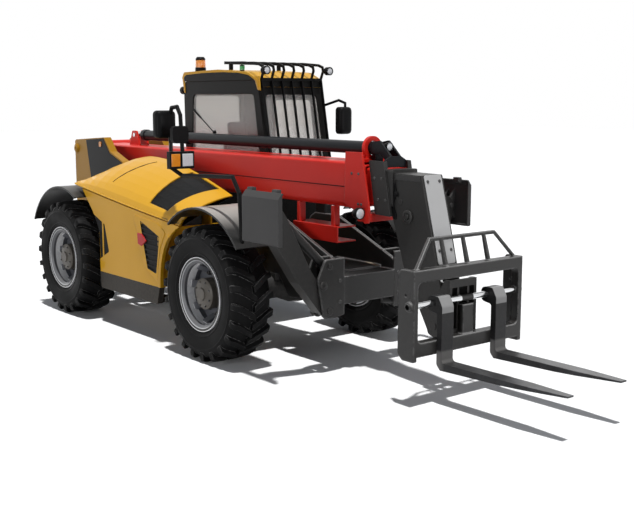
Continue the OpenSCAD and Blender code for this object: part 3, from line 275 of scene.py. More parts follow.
def makePaintFilm():
    tree, given, end = newGroup(
        "paintFilm", {"Colour": (0.5, 0.5, 0.5, 1), "Dust Colour": (0.3, 0.27, 0.22, 1), "Fade": 0.2,
                      "Dust": 0.2, "Gloss": 0.3}, ("Colour", "Roughness", "Height"))
    broad = noiseOf(tree, 1.7, 4)
    speck = noiseOf(tree, 34.0, 7, 0.65)
    peel = noiseOf(tree, 210.0, 2)
    lowness = rangeOf(spotParts(tree)[2], 0.25, 1.5, 1.0, 0.12)     # more dust near the ground
    upward = mathOf("MAXIMUM", splitVector(faceNormal(tree))[2], 0.0)
    settle = plus(lowness, times(mathOf("POWER", upward, 3.0), 0.35))
    grains = rangeOf(speck, 0.42, 0.72)
    mask = times(times(grains, settle), given["Dust"], clamp=True)
    tone = times(rangeOf(broad, 0.35, 0.7), given["Fade"])
    faded = mixColour(tone, given["Colour"], (0.55, 0.52, 0.5, 1), "MULTIPLY")
    sheen = plus(given["Gloss"], times(mask, 0.4))
    setInputs(end, Colour=mixColour(mask, faded, given["Dust Colour"]),
              Roughness=plus(sheen, times(broad, 0.08)),
              Height=plus(peel, times(mask, 0.6)))
    return tree


# edge tone mixes in on rubbed edges as wear, and by the crest amount on upward-facing edges as a painted
# highlight
def makeEdgeRub():
    tree, given, end = newGroup(
        "edgeRub", {"Colour": (0.5, 0.5, 0.5, 1), "Bare": (0.4, 0.4, 0.4, 1), "Radius": 0.004, "Rub": 0.4,
                    "Crest": 0.0}, ("Colour", "Normal"))
    rounder = addNode(tree, "ShaderNodeBevel", samples=6)
    setInputs(rounder, Radius=given["Radius"])
    rounded = rounder.outputs["Normal"]
    match = addNode(tree, "ShaderNodeVectorMath", operation="DOT_PRODUCT")
    feed(match.inputs[0], rounded)
    feed(match.inputs[1], faceNormal(tree))
    edge = rangeOf(match.outputs["Value"], 0.97, 0.86)
    patch = rangeOf(noiseOf(tree, 22.0, 6, 0.7), 0.4, 0.64)
    mask = times(times(edge, patch), given["Rub"], clamp=True)
    skyward = rangeOf(splitVector(rounded)[2], 0.2, 0.5)      # painted highlight: upward-facing edges are lightened by the crest amount
    crest = times(times(edge, skyward), given["Crest"])
    mask = mathOf("MAXIMUM", mask, crest, clamp=True)
    setInputs(end, Colour=mixColour(mask, given["Colour"], given["Bare"]), Normal=rounded)
    return tree


def makeRubberSkin():
    tree, given, end = newGroup(
        "rubberSkin", {"Rubber": (0.012, 0.012, 0.012, 1), "Scuff": (0.05, 0.047, 0.043, 1), "Amount": 0.5},
        ("Colour", "Roughness", "Height"))
    cloud = rangeOf(noiseOf(tree, 5.0, 5), 0.35, 0.7)
    grit = noiseOf(tree, 120.0, 4, 0.7)
    mask = times(times(cloud, grit), given["Amount"], clamp=True)
    setInputs(end, Colour=mixColour(mask, given["Rubber"], given["Scuff"]),
              Roughness=rangeOf(cloud, 0.0, 1.0, 0.5, 0.72), Height=grit)
    return tree


def makeWeave():
    tree, given, end = newGroup(
        "seatWeave", {"Thread": (0.03, 0.03, 0.033, 1), "Gap": (0.008, 0.008, 0.009, 1), "Scale": 180.0},
        ("Colour", "Height"))
    spot = objectSpot(tree)
    rows = []
    for way in ("X", "Y", "Z"):
        wave = addNode(tree, "ShaderNodeTexWave", wave_type="BANDS", bands_direction=way)
        setInputs(wave, Vector=spot, Scale=given["Scale"])
        rows.append(wave.outputs["Fac"])
    warp, weft = [mathOf("MAXIMUM", row, rows[2]) for row in rows[:2]]
    cross = times(warp, weft)
    setInputs(end, Colour=mixColour(cross, given["Gap"], given["Thread"]), Height=cross)
    return tree


def makePerforation():
    tree, given, end = newGroup(
        "perforation", {"Sheet": (0.02, 0.02, 0.022, 1), "Hole": (0.002, 0.002, 0.002, 1), "Scale": 70.0},
        ("Colour", "Height"))
    cells = addNode(tree, "ShaderNodeTexVoronoi", feature="F1", voronoi_dimensions="3D")
    setInputs(cells, Vector=objectSpot(tree), Scale=given["Scale"], Randomness=0.0)
    web = rangeOf(cells.outputs["Distance"], 0.36, 0.46)
    setInputs(end, Colour=mixColour(web, given["Hole"], given["Sheet"]), Height=web)
    return tree


paintFilm, edgeRub, rubberSkin = makePaintFilm(), makeEdgeRub(), makeRubberSkin()
seatWeave, perforation = makeWeave(), makePerforation()
finish = {}   # materials by name


def blankFinish(name):
    finish[name] = bpy.data.materials.new(name)
    finish[name].use_nodes = True
    tree = finish[name].node_tree
    return tree, tree.nodes["Principled BSDF"]


def placeGroup(tree, group, **values):
    node = addNode(tree, "ShaderNodeGroup", node_tree=group)
    setInputs(node, **values)
    return node.outputs


def bumpInto(bsdf, height, strength, distance, **base):
    bump = addNode(bsdf.id_data, "ShaderNodeBump")
    setInputs(bump, Strength=strength, Distance=distance, Height=height, **base)
    setInputs(bsdf, Normal=bump.outputs["Normal"])


def paintFinish(name, look):
    tree, bsdf = blankFinish(name)
    look = plainLook | look
    colour = look["picture"](tree) if "picture" in look else look["colour"] + (1,)
    film = placeGroup(tree, paintFilm, Colour=colour, Fade=look["fade"], Dust=look["dust"],
                      Dust_Colour=look["dustColour"] + (1,), Gloss=look["gloss"])
    edgeMix = placeGroup(tree, edgeRub, Colour=film["Colour"], Bare=look["edgeTone"] + (1,), Radius=look["edge"],
                     Rub=look["edgeMix"], Crest=look["crest"])
    setInputs(bsdf, Base_Color=edgeMix["Colour"], Roughness=film["Roughness"], Coat_Weight=look["coat"],
              Coat_Roughness=0.08, Specular_IOR_Level=look["shine"], Metallic=look["metal"])
    bumpInto(bsdf, film["Height"], look["bump"], 0.0012, Normal=edgeMix["Normal"])


def lensFinish(name, look):
    tree, bsdf = blankFinish(name)
    flutes = noiseOf(tree, 90.0, 1)
    setInputs(bsdf, Base_Color=mixColour(flutes, look["colour"] + (1,), look["deep"] + (1,)),
              Roughness=look["gloss"], Coat_Weight=0.6, Coat_Roughness=0.04)
    bumpInto(bsdf, flutes, 0.25, 0.002)


def wheelTones(tree):
    x, y, z = spotParts(tree)
    ahead = mathOf("ABSOLUTE", mathOf("SUBTRACT", x, axleX))
    behind = mathOf("ABSOLUTE", mathOf("SUBTRACT", x, axleX + rearX))
    along = mathOf("MINIMUM", ahead, behind)
    up = mathOf("SUBTRACT", z, wheelUp)
    radius = mathOf("SQRT", plus(times(along, along), times(up, up)))
    depth = mathOf("SUBTRACT", mathOf("ABSOLUTE", y), wheelOut)
    above = mathOf("SUBTRACT", depth, rangeOf(radius, 0.172, 0.288, -0.018, 0.012))
    # painted highlights: white on the barrel's inner band and at the outer lip, pale grey at the flange's
    # inner edge, standing in for reflections of the bright surroundings
    highlightWhite, steel, dark = (1.0, 1.0, 1.0, 1), (0.12, 0.122, 0.13, 1), (0.008, 0.008, 0.009, 1)
    grey, highlightGrey, hub = (0.095, 0.1, 0.115, 1), (0.45, 0.46, 0.47, 1), (0.085, 0.074, 0.06, 1)
    dish = toneStep(above, 0.004, 0.007, grey, (0.125, 0.13, 0.145, 1))
    barrel = toneStep(depth, 0.06, 0.064, grey, highlightWhite)
    barrel = toneStep(depth, 0.14, 0.144, barrel, steel)
    rim = toneStep(radius, 0.284, 0.287, dish, barrel)
    for low, high, tone in ((0.3095, 0.3105, highlightGrey), (0.3165, 0.3175, dark), (0.3365, 0.3375, highlightWhite)):
        rim = toneStep(radius, low, high, rim, tone)
    return toneStep(radius, 0.15, 0.153, hub, rim)


# painted reflection: upward-facing parts of the front fenders are pale grey where glossy black would mirror
# the sky; the rear ones stay black
def fenderSheenTones(tree):
    forward = rangeOf(spotParts(tree)[0], -1.6, -0.6, 0.12, 1.0)
    paintedSheen = times(rangeOf(splitVector(faceNormal(tree))[2], 0.8, 0.985), forward)
    cloud = rangeOf(noiseOf(tree, 4.0, 4), 0.3, 0.7, 0.8, 1.0)
    return mixColour(times(paintedSheen, cloud), (0.01, 0.01, 0.01, 1), (0.44, 0.412, 0.38, 1))


def forkTones(tree):
    x, _, z = spotParts(tree)
    sideways = mathOf("ABSOLUTE", splitVector(faceNormal(tree))[1])
    # painted highlight: the hooks' top and front faces are light grey, their sideways faces are not
    hookHighlight = times(rangeOf(z, 0.742, 0.746), rangeOf(sideways, 0.35, 0.7, 1.0, 0.0))
    heel = times(rangeOf(z, 0.45, 0.43), rangeOf(x, 2.62, 2.56))
    worn = times(rangeOf(x, 2.56, 3.4), rangeOf(noiseOf(tree, 6.0, 6, 0.7), 0.4, 0.7))
    steel = mixColour(worn, (0.02, 0.02, 0.021, 1), (0.052, 0.053, 0.058, 1))
    steel = mixColour(heel, steel, (0.16, 0.155, 0.15, 1))
    return mixColour(hookHighlight, steel, (0.24, 0.24, 0.24, 1))


plainLook = {"gloss": 0.36, "coat": 0.0, "shine": 0.5, "metal": 0.0, "dust": 0.12, "fade": 0.2, "edgeMix": 0.4,
             "crest": 0.0, "edge": 0.006, "bump": 0.12, "dustColour": (0.3, 0.265, 0.21)}
looks = {   # each says where it differs from the plain one
    "sunYellow": {"colour": (0.69, 0.356, 0.009), "gloss": 0.3, "coat": 0.06, "shine": 0.18, "dust": 0.05,
        "fade": 0.12, "edgeTone": (0.8, 0.5, 0.09), "edge": 0.01, "dustColour": (0.58, 0.36, 0.07)},
    # painted shade: the towers' yellow is the hood's yellow paint darkened for their shaded sides; the
    # pivot and pin caps use it too
    "shadedTowerYellow": {"colour": (0.4, 0.198, 0.009), "coat": 0.02, "shine": 0.12, "dust": 0.07,
        "edgeTone": (0.6, 0.38, 0.1), "edgeMix": 0.5, "edge": 0.008, "dustColour": (0.4, 0.28, 0.12), "fade": 0.15},
    "boomRed": {"colour": (0.7, 0.022, 0.014), "gloss": 0.3, "coat": 0.06, "shine": 0.18, "dust": 0.08,
        "fade": 0.22, "edgeTone": (0.66, 0.1, 0.06), "edgeMix": 0.5, "edge": 0.01,
        "dustColour": (0.38, 0.08, 0.05)},
    "charcoal": {"colour": (0.022, 0.0212, 0.0206), "shine": 0.24, "dust": 0.18, "edgeTone": (0.2, 0.195, 0.19),
        "edgeMix": 0.45, "dustColour": (0.1, 0.092, 0.08)},
    "padGrey": {"colour": (0.045, 0.044, 0.044), "gloss": 0.42, "shine": 0.18, "edgeTone": (0.2, 0.195, 0.19),
        "edgeMix": 0.45, "dustColour": (0.12, 0.11, 0.1)},
    "plateGrey": {"colour": (0.42, 0.42, 0.42), "dust": 0.08, "edgeTone": (0.6, 0.6, 0.6), "edgeMix": 0.5,
        "edge": 0.005, "metal": 0.1},
    "satinBlack": {"colour": (0.0058, 0.0058, 0.0062), "shine": 0.06, "fade": 0.1,
        "edgeTone": (0.05, 0.05, 0.05), "edge": 0.005, "bump": 0.2, "dustColour": (0.08, 0.074, 0.066)},
    "barrelBlack": {"colour": (0.007, 0.0085, 0.011), "gloss": 0.3, "shine": 0.13, "dust": 0.06,
        "fade": 0.1, "edgeTone": (0.08, 0.08, 0.09), "edge": 0.005, "bump": 0.06},
    "fenderSkin": {"gloss": 0.3, "shine": 0.2, "dust": 0.05, "fade": 0.1, "edgeTone": (0.05, 0.05, 0.05),
        "edgeMix": 0.3, "picture": fenderSheenTones},
    "cabTrim": {"colour": (0.0085, 0.0083, 0.0081), "gloss": 0.42, "shine": 0.08, "dust": 0.08, "fade": 0.1,
        "bump": 0.3, "edgeTone": (0.06, 0.06, 0.06), "edgeMix": 0.35, "edge": 0.008},
    "warmGrey": {"colour": (0.032, 0.028, 0.024), "gloss": 0.46, "shine": 0.14, "dust": 0.25, "bump": 0.35,
        "edgeTone": (0.18, 0.165, 0.14), "edge": 0.008, "dustColour": (0.15, 0.13, 0.1)},
    "rimSilver": {"gloss": 0.3, "shine": 0.3, "fade": 0.1, "edgeTone": (0.4, 0.39, 0.38), "edgeMix": 0.3,
        "edge": 0.004, "picture": wheelTones},
    "castIron": {"colour": (0.03, 0.029, 0.028), "gloss": 0.55, "shine": 0.3, "dust": 0.3, "fade": 0.3,
        "bump": 0.6, "edgeTone": (0.16, 0.155, 0.15), "dustColour": (0.1, 0.09, 0.078)},
    # carriageSteel: its crest paints a highlight band in the light edge tone along upward-facing edges of
    # the carriage and frame
    "carriageSteel": {"colour": (0.0145, 0.0138, 0.0132), "gloss": 0.34, "shine": 0.34, "dust": 0.1,
        "edgeTone": (0.34, 0.335, 0.33), "edgeMix": 0.45, "crest": 0.85, "edge": 0.026,
        "dustColour": (0.1, 0.092, 0.08)},
    "forkSteel": {"shine": 0.16, "dust": 0.04, "edgeTone": (0.16, 0.16, 0.165), "edge": 0.008,
        "picture": forkTones},
    "hardChrome": {"colour": (0.72, 0.73, 0.74), "gloss": 0.1, "dust": 0.04, "fade": 0.05, "metal": 1.0,
        "edgeTone": (0.8, 0.8, 0.8), "edgeMix": 0.2, "edge": 0.003, "bump": 0.03},
    "boltSteel": {"colour": (0.05, 0.05, 0.05), "dust": 0.15, "metal": 0.5, "edgeTone": (0.45, 0.45, 0.45),
        "edgeMix": 0.6, "edge": 0.002},
    "latchRed": {"colour": (0.48, 0.018, 0.02), "gloss": 0.3, "shine": 0.2, "dust": 0.03,
        "edgeTone": (0.7, 0.2, 0.18), "edge": 0.004, "fade": 0.15},
    "deckTan": {"colour": (0.26, 0.22, 0.16), "gloss": 0.55, "shine": 0.3, "dust": 0.5, "fade": 0.3,
        "bump": 0.5, "edgeTone": (0.4, 0.36, 0.3), "edge": 0.003},
}
for name, look in looks.items():
    paintFinish(name, look)

lenses = {
    "amberLens": {"colour": (0.95, 0.36, 0.02), "deep": (0.72, 0.2, 0.01), "gloss": 0.12},
    "greenLens": {"colour": (0.02, 0.42, 0.08), "deep": (0.01, 0.25, 0.04), "gloss": 0.12},
    "clearLens": {"colour": (0.82, 0.84, 0.86), "deep": (0.58, 0.6, 0.63), "gloss": 0.16},
    "redLens": {"colour": (0.55, 0.02, 0.015), "deep": (0.35, 0.01, 0.01), "gloss": 0.14},
}
for name, look in lenses.items():
    lensFinish(name, look)

tree, bsdf = blankFinish("tyreRubber")
skin = placeGroup(tree, rubberSkin, Rubber=(0.0068, 0.0068, 0.007, 1), Scuff=(0.028, 0.027, 0.026, 1),
                  Amount=0.4)
# painted glints: the lug edges take a light grey edge tone at full amount, standing in for highlights on
# the tread
edgeMix = placeGroup(tree, edgeRub, Colour=skin["Colour"], Bare=(0.26, 0.256, 0.25, 1), Radius=0.007, Rub=1.0)
setInputs(bsdf, Base_Color=edgeMix["Colour"], Roughness=skin["Roughness"], Specular_IOR_Level=0.06)
bumpInto(bsdf, skin["Height"], 0.25, 0.002, Normal=edgeMix["Normal"])

tree, bsdf = blankFinish("tintedPane")
smear = rangeOf(noiseOf(tree, 3.0, 5), 0.3, 0.8, 0.02, 0.07)
setInputs(bsdf, Base_Color=(0.78, 0.765, 0.745, 1), Roughness=smear, Transmission_Weight=0.76, IOR=1.05,
          Specular_IOR_Level=0.6)

tree, bsdf = blankFinish("mirrorGlass")
haze = rangeOf(noiseOf(tree, 14.0, 5), 0.3, 0.8, 0.02, 0.09)
setInputs(bsdf, Base_Color=(0.72, 0.76, 0.78, 1), Roughness=haze, Metallic=1.0)

tree, bsdf = blankFinish("grilleMesh")
holes = placeGroup(tree, perforation, Sheet=(0.006, 0.0065, 0.0075, 1), Hole=(0.002, 0.002, 0.002, 1),
                   Scale=95.0)
setInputs(bsdf, Base_Color=holes["Colour"], Roughness=0.28, Specular_IOR_Level=0.05)
bumpInto(bsdf, holes["Height"], 0.5, 0.003)

tree, bsdf = blankFinish("seatCloth")
cloth = placeGroup(tree, seatWeave, Thread=(0.045, 0.045, 0.05, 1), Gap=(0.012, 0.012, 0.013, 1),
                   Scale=150.0)
setInputs(bsdf, Base_Color=cloth["Colour"], Roughness=0.85, Sheen_Weight=0.3)
bumpInto(bsdf, cloth["Height"], 0.4, 0.0015)

wheelNames = ("fl", "fr", "rl", "rr")
finishNodes = {"shadedTowerYellow": ["boom_towers"], "sunYellow": ["hood_side", "hood", "cab_roof"],
               "boomRed": ["boom_outer", "boom_mid", "boom_inner"], "barrelBlack": ["extend_barrel"],
               "satinBlack": ["lamps", "mirrors", "cab_guard"], "padGrey": ["stab_pad_l", "stab_pad_r"],
               "cabTrim": ["cab_shell", "cab_door", "cab_interior"], "seatCloth": ["seat"],
               "tintedPane": ["cab_glass", "door_glass"], "grilleMesh": ["hood_grille"],
               "fenderSkin": ["fenders"], "warmGrey": ["side_boxes"], "forkSteel": ["forks"],
               "hardChrome": ["extend_rod", "lift_rod", "tilt_rod", "stab_rod_l", "stab_rod_r"],
               "carriageSteel": ["carriage", "chassis_frame"],
               "castIron": ["engine", "axles"] + ["knuckle_" + wheel for wheel in wheelNames],
               "rimSilver": ["rim_" + wheel for wheel in wheelNames],
               "tyreRubber": ["tyre_" + wheel for wheel in wheelNames]}
nodeFinish = {node: look for look, nodes in finishNodes.items() for node in nodes}
for name, obj in cadNodes.items():
    obj.data.materials.clear()
    obj.data.materials.append(finish[nodeFinish.get(name, "charcoal")])
print("finishes set")


# tyres with chevron lugs; bend turns a lug's run into an angle
tyreSize = {"lugs": 22, "lugTop": 0.0265, "lugFoot": 0.036, "bend": 0.62, "steps": 120}
lugRun = [(-0.01, 0.062), (0.086, -0.004), (0.159, -0.046), (0.215, -0.058)]   # across, ahead
tyreWall = [(0.3055, 0.177), (0.349, 0.178), (0.354, 0.187), (0.366, 0.196), (0.382, 0.201),
            (0.386, 0.205), (0.391, 0.205), (0.395, 0.202), (0.42, 0.2075), (0.455, 0.2115),
            (0.49, 0.2125), (0.505, 0.212), (0.509, 0.2145), (0.515, 0.2145), (0.519, 0.211),
            (0.54, 0.206), (0.556, 0.199), (0.568, 0.19), (0.578, 0.176), (0.586, 0.155), (0.591, 0.11),
            (0.594, 0.05), (0.595, 0.0)]
lugLine = [(-0.01, 0.6345, -0.01, 0.586), (0.03, 0.635, 0.03, 0.586), (0.07, 0.6345, 0.07, 0.584),
           (0.11, 0.633, 0.11, 0.582), (0.15, 0.63, 0.148, 0.577), (0.18, 0.626, 0.172, 0.566),
           (0.2, 0.618, 0.184, 0.556), (0.2115, 0.6, 0.192, 0.548), (0.2145, 0.576, 0.198, 0.54),
           (0.2125, 0.548, 0.2, 0.532)]


def lugAhead(wide):
    for (y0, x0), (y1, x1) in zip(lugRun, lugRun[1:]):
        if wide <= y1:
            return x0 + (x1 - x0) * (wide - y0) / (y1 - y0)
    return lugRun[-1][1]


def lugPart(side, middle):
    halfTop, halfFoot = tyreSize["lugTop"], tyreSize["lugFoot"]
    points = []
    for wide, top, footWide, foot in lugLine:
        for radius, across, half in ((foot, footWide, -halfFoot), (top, wide, -halfTop),
                                     (top, wide, halfTop), (foot, footWide, halfFoot)):
            a = middle + (lugAhead(wide) - half) / tyreSize["bend"]
            points.append((radius * math.sin(a), side * across, radius * math.cos(a)))
    return points, chainFaces(len(lugLine))


def tyrePart():
    profile = tyreWall + [(r, -w) for r, w in reversed(tyreWall[:-1])]
    carcass = ringPart(profile, (0, 0, 0), toLeft, tyreSize["steps"])
    pitch = 2 * math.pi / tyreSize["lugs"]
    lugs = [lugPart(1, i * pitch) for i in range(tyreSize["lugs"])]
    lugs += [lugPart(-1, (i + 0.5) * pitch) for i in range(tyreSize["lugs"])]
    return joined([carcass] + lugs)


# wheel nuts and hub bolts
wheelBits = {"nuts": 10, "nutRing": 0.205, "nutFoot": -0.008,
             "hubBolts": 8, "hubRing": 0.118, "hubFoot": 0.1585}


def ringSpots(count, radius, y, turn):
    angles = [2 * math.pi * (i + turn) / count for i in range(count)]
    return [(radius * math.sin(a), y, radius * math.cos(a)) for a in angles]


def wheelBitsPart():
    parts = []
    for spot in ringSpots(wheelBits["nuts"], wheelBits["nutRing"], wheelBits["nutFoot"], 0):
        parts.append(boltPart(spot, toLeft, 0.034, 0.026))
        parts.append(turnedPart([(0, 0.02), (0.009, 0.02), (0.009, 0.036), (0, 0.036)],
                                spot, toLeft, 10))
    hubSpots = ringSpots(wheelBits["hubBolts"], wheelBits["hubRing"], wheelBits["hubFoot"], 0.5)
    return joined(parts + [boltRow(hubSpots, toLeft, 0.013, 0.008)])


def placedWheel(part, x, side):
    points, faces = part
    return [(p[0] + x, side * p[1] + side * wheelOut, p[2] + wheelUp) for p in points], faces


tyre, nuts = tyrePart(), wheelBitsPart()
for wheel in wheelNames:
    x = 0.0 if wheel[0] == "f" else rearX
    side = 1 if wheel[1] == "l" else -1
    body = "wheel_" + wheel
    addPiece("tyre" + wheel.capitalize(), placedWheel(tyre, x, side), "tyreRubber", body,
             0.004, 32, ["tyre_" + wheel])
    addPiece("wheelNuts" + wheel.capitalize(), placedWheel(nuts, x, side), "boltSteel", body)


def smoothCopy(name, node, look, body, smooth):
    source = cadNodes[node]
    points = [source.matrix_world @ v.co - Vector((axleX, 0, 0)) for v in source.data.vertices]
    faces = [list(face.vertices) for face in source.data.polygons]
    return addPiece(name, (points, faces), look, body, 0, smooth, [node])


# rolled sheet shows no facets
smoothCopy("fenderSkins", "fenders", "fenderSkin", "chassis", 26)
print("wheels done")


# hood: same curve as the lid, for what lies on it
hoodCurve = {"rear": -2.69, "long": 2.22, "inner": -0.43, "outer": -1.03, "bulge": 0.42, "peak": 0.3,
             "rise": (1.56, 1.785, 1.785), "fall": (1.785, 1.785, 1.64, 1.47),
             "ridge": (1.478, 1.33, 1.225)}


def bend2(a, b, c, t):
    return (a + (b - a) * t) * (1 - t) + (b + (c - b) * t) * t


def bend3(a, b, c, d, t):
    return bend2(a, b, c, t) * (1 - t) + bend2(b, c, d, t) * t


def hoodSpot(t, s):
    peak, bulge, inner = hoodCurve["peak"], hoodCurve["bulge"], hoodCurve["inner"]
    crest = (bend2(*hoodCurve["rise"], t / peak) if t < peak
             else bend3(*hoodCurve["fall"], (t - peak) / (1 - peak)))
    ridge = bend2(*hoodCurve["ridge"], t)
    y = bend3(inner, inner - 0.6 * bulge, -1.01, hoodCurve["outer"], s)
    z = bend3(crest, crest - 0.02, ridge + (crest - ridge) * bulge, ridge, s)
    return Vector((hoodCurve["rear"] + hoodCurve["long"] * t, y, z))


def onHood(x, y, lift):
    t = (x - hoodCurve["rear"]) / hoodCurve["long"]
    low, high = 0.0, 1.0
    for _ in range(30):
        middle = (low + high) / 2
        if hoodSpot(t, middle).y > y:
            low = middle
        else:
            high = middle
    return hoodSpot(t, low) + Vector((0, 0, lift))


groove = {"from": (-1.955, -0.945), "to": (-1.7, -0.552), "half": 0.008, "steps": 24}


def groovePart():
    points = []
    (x0, y0), (x1, y1) = groove["from"], groove["to"]
    across = Vector((y0 - y1, x1 - x0)).normalized()
    for i in range(groove["steps"] + 1):
        t = i / groove["steps"]
        half = groove["half"] * min(1.0, 0.25 + 4 * t, 0.25 + 4 * (1 - t))
        x, y = x0 + (x1 - x0) * t, y0 + (y1 - y0) * t
        for k, lift in ((-1, -0.004), (-0.7, 0.0015), (0.7, 0.0015), (1, -0.004)):
            points.append(onHood(x + across.x * half * k, y + across.y * half * k, lift))
    return points, chainFaces(groove["steps"] + 1)


addPiece("hoodGroove", groovePart(), "satinBlack", "hood")

hoodLip = {"above": 0.01, "below": 0.011, "steps": 40}


def lipPart():
    points = []
    for i in range(hoodLip["steps"] + 1):
        edge = hoodSpot(i / hoodLip["steps"], 1.0)
        for out, up in ((0.002, hoodLip["above"] - 0.003), (0.0, hoodLip["above"]),
                        (0.0, -hoodLip["below"]), (0.0012, 0.001 - hoodLip["below"])):
            points.append(edge + Vector((0, -out, up)))
    return points, chainFaces(hoodLip["steps"] + 1)


addPiece("hoodLip", lipPart(), "sunYellow", "hood")

sidePanels = {"face": -1.03, "slats": 9, "slatLow": 0.7, "slatPitch": 0.052, "slatTall": 0.014}
panelFace = sidePanels["face"]
ventOutline = [(-1.236, 1.198), (-0.858, 1.068), (-0.932, 0.69), (-1.104, 0.725), (-1.171, 0.959)]
rearOutline = [(-2.258, 1.17), (-2.016, 1.08), (-1.93, 0.8), (-2.126, 0.706), (-2.146, 1.0)]
latchOutline = [(-1.284, 1.068), (-1.199, 1.066), (-1.114, 1.0), (-1.204, 0.94), (-1.276, 0.957)]


def ventSpan(z):
    hits = []
    for (x0, z0), (x1, z1) in zip(ventOutline, ventOutline[1:] + ventOutline[:1]):
        if min(z0, z1) <= z < max(z0, z1):
            hits.append(x0 + (x1 - x0) * (z - z0) / (z1 - z0))
    return min(hits), max(hits)


def ventPart():
    inset = [(-1.228, 1.19), (-0.868, 1.064), (-0.938, 0.7), (-1.1, 0.733), (-1.164, 0.959)]
    parts = [platePart(inset, "y", panelFace + 0.005, panelFace + 0.012)]
    for i in range(sidePanels["slats"]):
        low = sidePanels["slatLow"] + sidePanels["slatPitch"] * i
        high = low + sidePanels["slatTall"]
        (a, b), (c, d) = ventSpan(low), ventSpan(high)
        slat = [(a + 0.002, low - 0.001), (b - 0.002, low - 0.001),
                (d - 0.002, high + 0.001), (c + 0.002, high + 0.001)]
        parts.append(platePart(slat, "y", panelFace - 0.0035, panelFace + 0.01))
    return joined(parts)


def framePart(outline, inside, outside, low, high):
    count = len(outline)
    middle = Vector((sum(p[0] for p in outline) / count, sum(p[1] for p in outline) / count))
    rings = []
    for grow, y in ((-inside, low), (outside, low), (outside, high), (-inside, high)):
        ring = []
        for p in outline:
            away = Vector(p) - middle
            spot = middle + away * (1 + grow / away.length)
            ring.append((spot.x, y, spot.y))
        rings.append(ring)
    return [p for ring in rings for p in ring], skinFaces(len(rings), count, True)


addPiece("ventFrame", framePart(ventOutline, 0.014, 0.006, panelFace - 0.0045, panelFace + 0.004),
         "satinBlack", "chassis", 0.001)
addPiece("sideVent", ventPart(), "satinBlack", "chassis", 0.0015)
addPiece("rearInset", platePart(rearOutline, "y", panelFace + 0.0055, panelFace + 0.014),
         "satinBlack", "chassis", 0.0015)
addPiece("hoodLatch", platePart(latchOutline, "y", panelFace - 0.014, panelFace + 0.008),
         "latchRed", "chassis", 0.004)
print("hood done")


# seat: crowned pads with a sewn waist and channels
seatPads = {"cushion": {"middle": (-1.59, 0.665, 1.29), "along": (1.0, 0.0, 0.03),
                        "half": (0.262, 0.234, 0.058), "crown": 0.016},
            "back": {"middle": (-1.868, 0.665, 1.65), "along": (-0.22, 0.0, 0.976),
                     "half": (0.318, 0.222, 0.05), "crown": 0.014},
            "head": {"middle": (-1.957, 0.665, 2.053), "along": (-0.15, 0.0, 0.989),
                     "half": (0.096, 0.134, 0.034), "crown": 0.006}}


def padPart(pad, cells=18, rows=8):
    along = Vector(pad["along"]).normalized()
    across = Vector(toLeft)
    out = along.cross(across)
    if out.dot(Vector((0.6, 0, 0.8))) < 0:
        out = -out
    longHalf, wideHalf, thickHalf = pad["half"]
    spots, order, faces = [], {}, []

    def place(i, j, k):
        key = (i, j, k)
        if key not in order:
            a, b, c = 2 * i / cells - 1, 2 * j / cells - 1, 2 * k / rows - 1
            size = max(abs(a), abs(b), abs(c), 1e-6)
            ball = (abs(a) ** 5 + abs(b) ** 5 + abs(c) ** 5) ** 0.2
            a, b, c = a * size / ball, b * size / ball, c * size / ball
            waist = 1 - 0.02 * math.exp(-(c / 0.16) ** 2)
            u = a * (1 - 0.035 * math.cos(b * math.pi / 2)) * waist * longHalf
            v = b * (1 - 0.035 * math.cos(a * math.pi / 2)) * waist * wideHalf
            crown = pad["crown"] * math.cos(a * math.pi / 2) * math.cos(b * math.pi / 2)
            channel = sum(math.exp(-((b - m) / 0.05) ** 2) for m in (-0.55, 0.55)) * 0.01
            w = c * thickHalf + max(c, 0.0) * (crown - channel * (1 - a * a))
            order[key] = len(spots)
            spots.append(Vector(pad["middle"]) + along * u + across * v + out * w)
        return order[key]

    corners = ((0, 0), (1, 0), (1, 1), (0, 1))
    for i in range(cells):
        for j in range(cells):
            for k in (0, rows):
                faces.append([place(i + a, j + b, k) for a, b in corners])
    for i in range(cells):
        for k in range(rows):
            for j in (0, cells):
                faces.append([place(i + a, j, k + b) for a, b in corners])
                faces.append([place(j, i + a, k + b) for a, b in corners])
    return spots, faces


seatPiece = addPiece("seatPads", joined([padPart(pad) for pad in seatPads.values()]), "seatCloth",
                     "chassis", 0, 180, ["seat"])
swell = seatPiece.modifiers.new("swell", "SUBSURF")
swell.levels = 1
swell.render_levels = 1
print("seat done")


# roof skirt: dark band under an arched edge, with a leg at each end
roofDress = {"side": 0.23,
             "band": [(-2.395, 2.6), (-2.392, 2.652), (-2.345, 2.674), (-2.0, 2.69), (-1.6, 2.692),
                      (-1.3, 2.68), (-1.12, 2.655), (-1.02, 2.612), (-1.012, 2.6)],
             "legs": [[(-2.44, 2.64), (-2.392, 2.64), (-2.382, 2.47), (-2.408, 2.478)],
                      [(-1.022, 2.64), (-0.925, 2.64), (-0.905, 2.492), (-0.96, 2.5)]]}
roofSide = roofDress["side"]
addPiece("roofBand", platePart(roofDress["band"], "y", roofSide - 0.0025, roofSide + 0.002),
         "cabTrim", "chassis", 0.001)
visor = [(-0.9568, 2.604), (-0.9535, 2.604), (-0.939, 2.529), (-0.9423, 2.529)]
addPiece("roofVisor", platePart(visor, "y", 0.244, 1.086), "cabTrim", "chassis")
legs = joined([platePart(leg, "y", roofSide + 0.004, roofSide + 0.012) for leg in roofDress["legs"]])
addPiece("roofLegs", legs, "sunYellow", "chassis", 0.001)


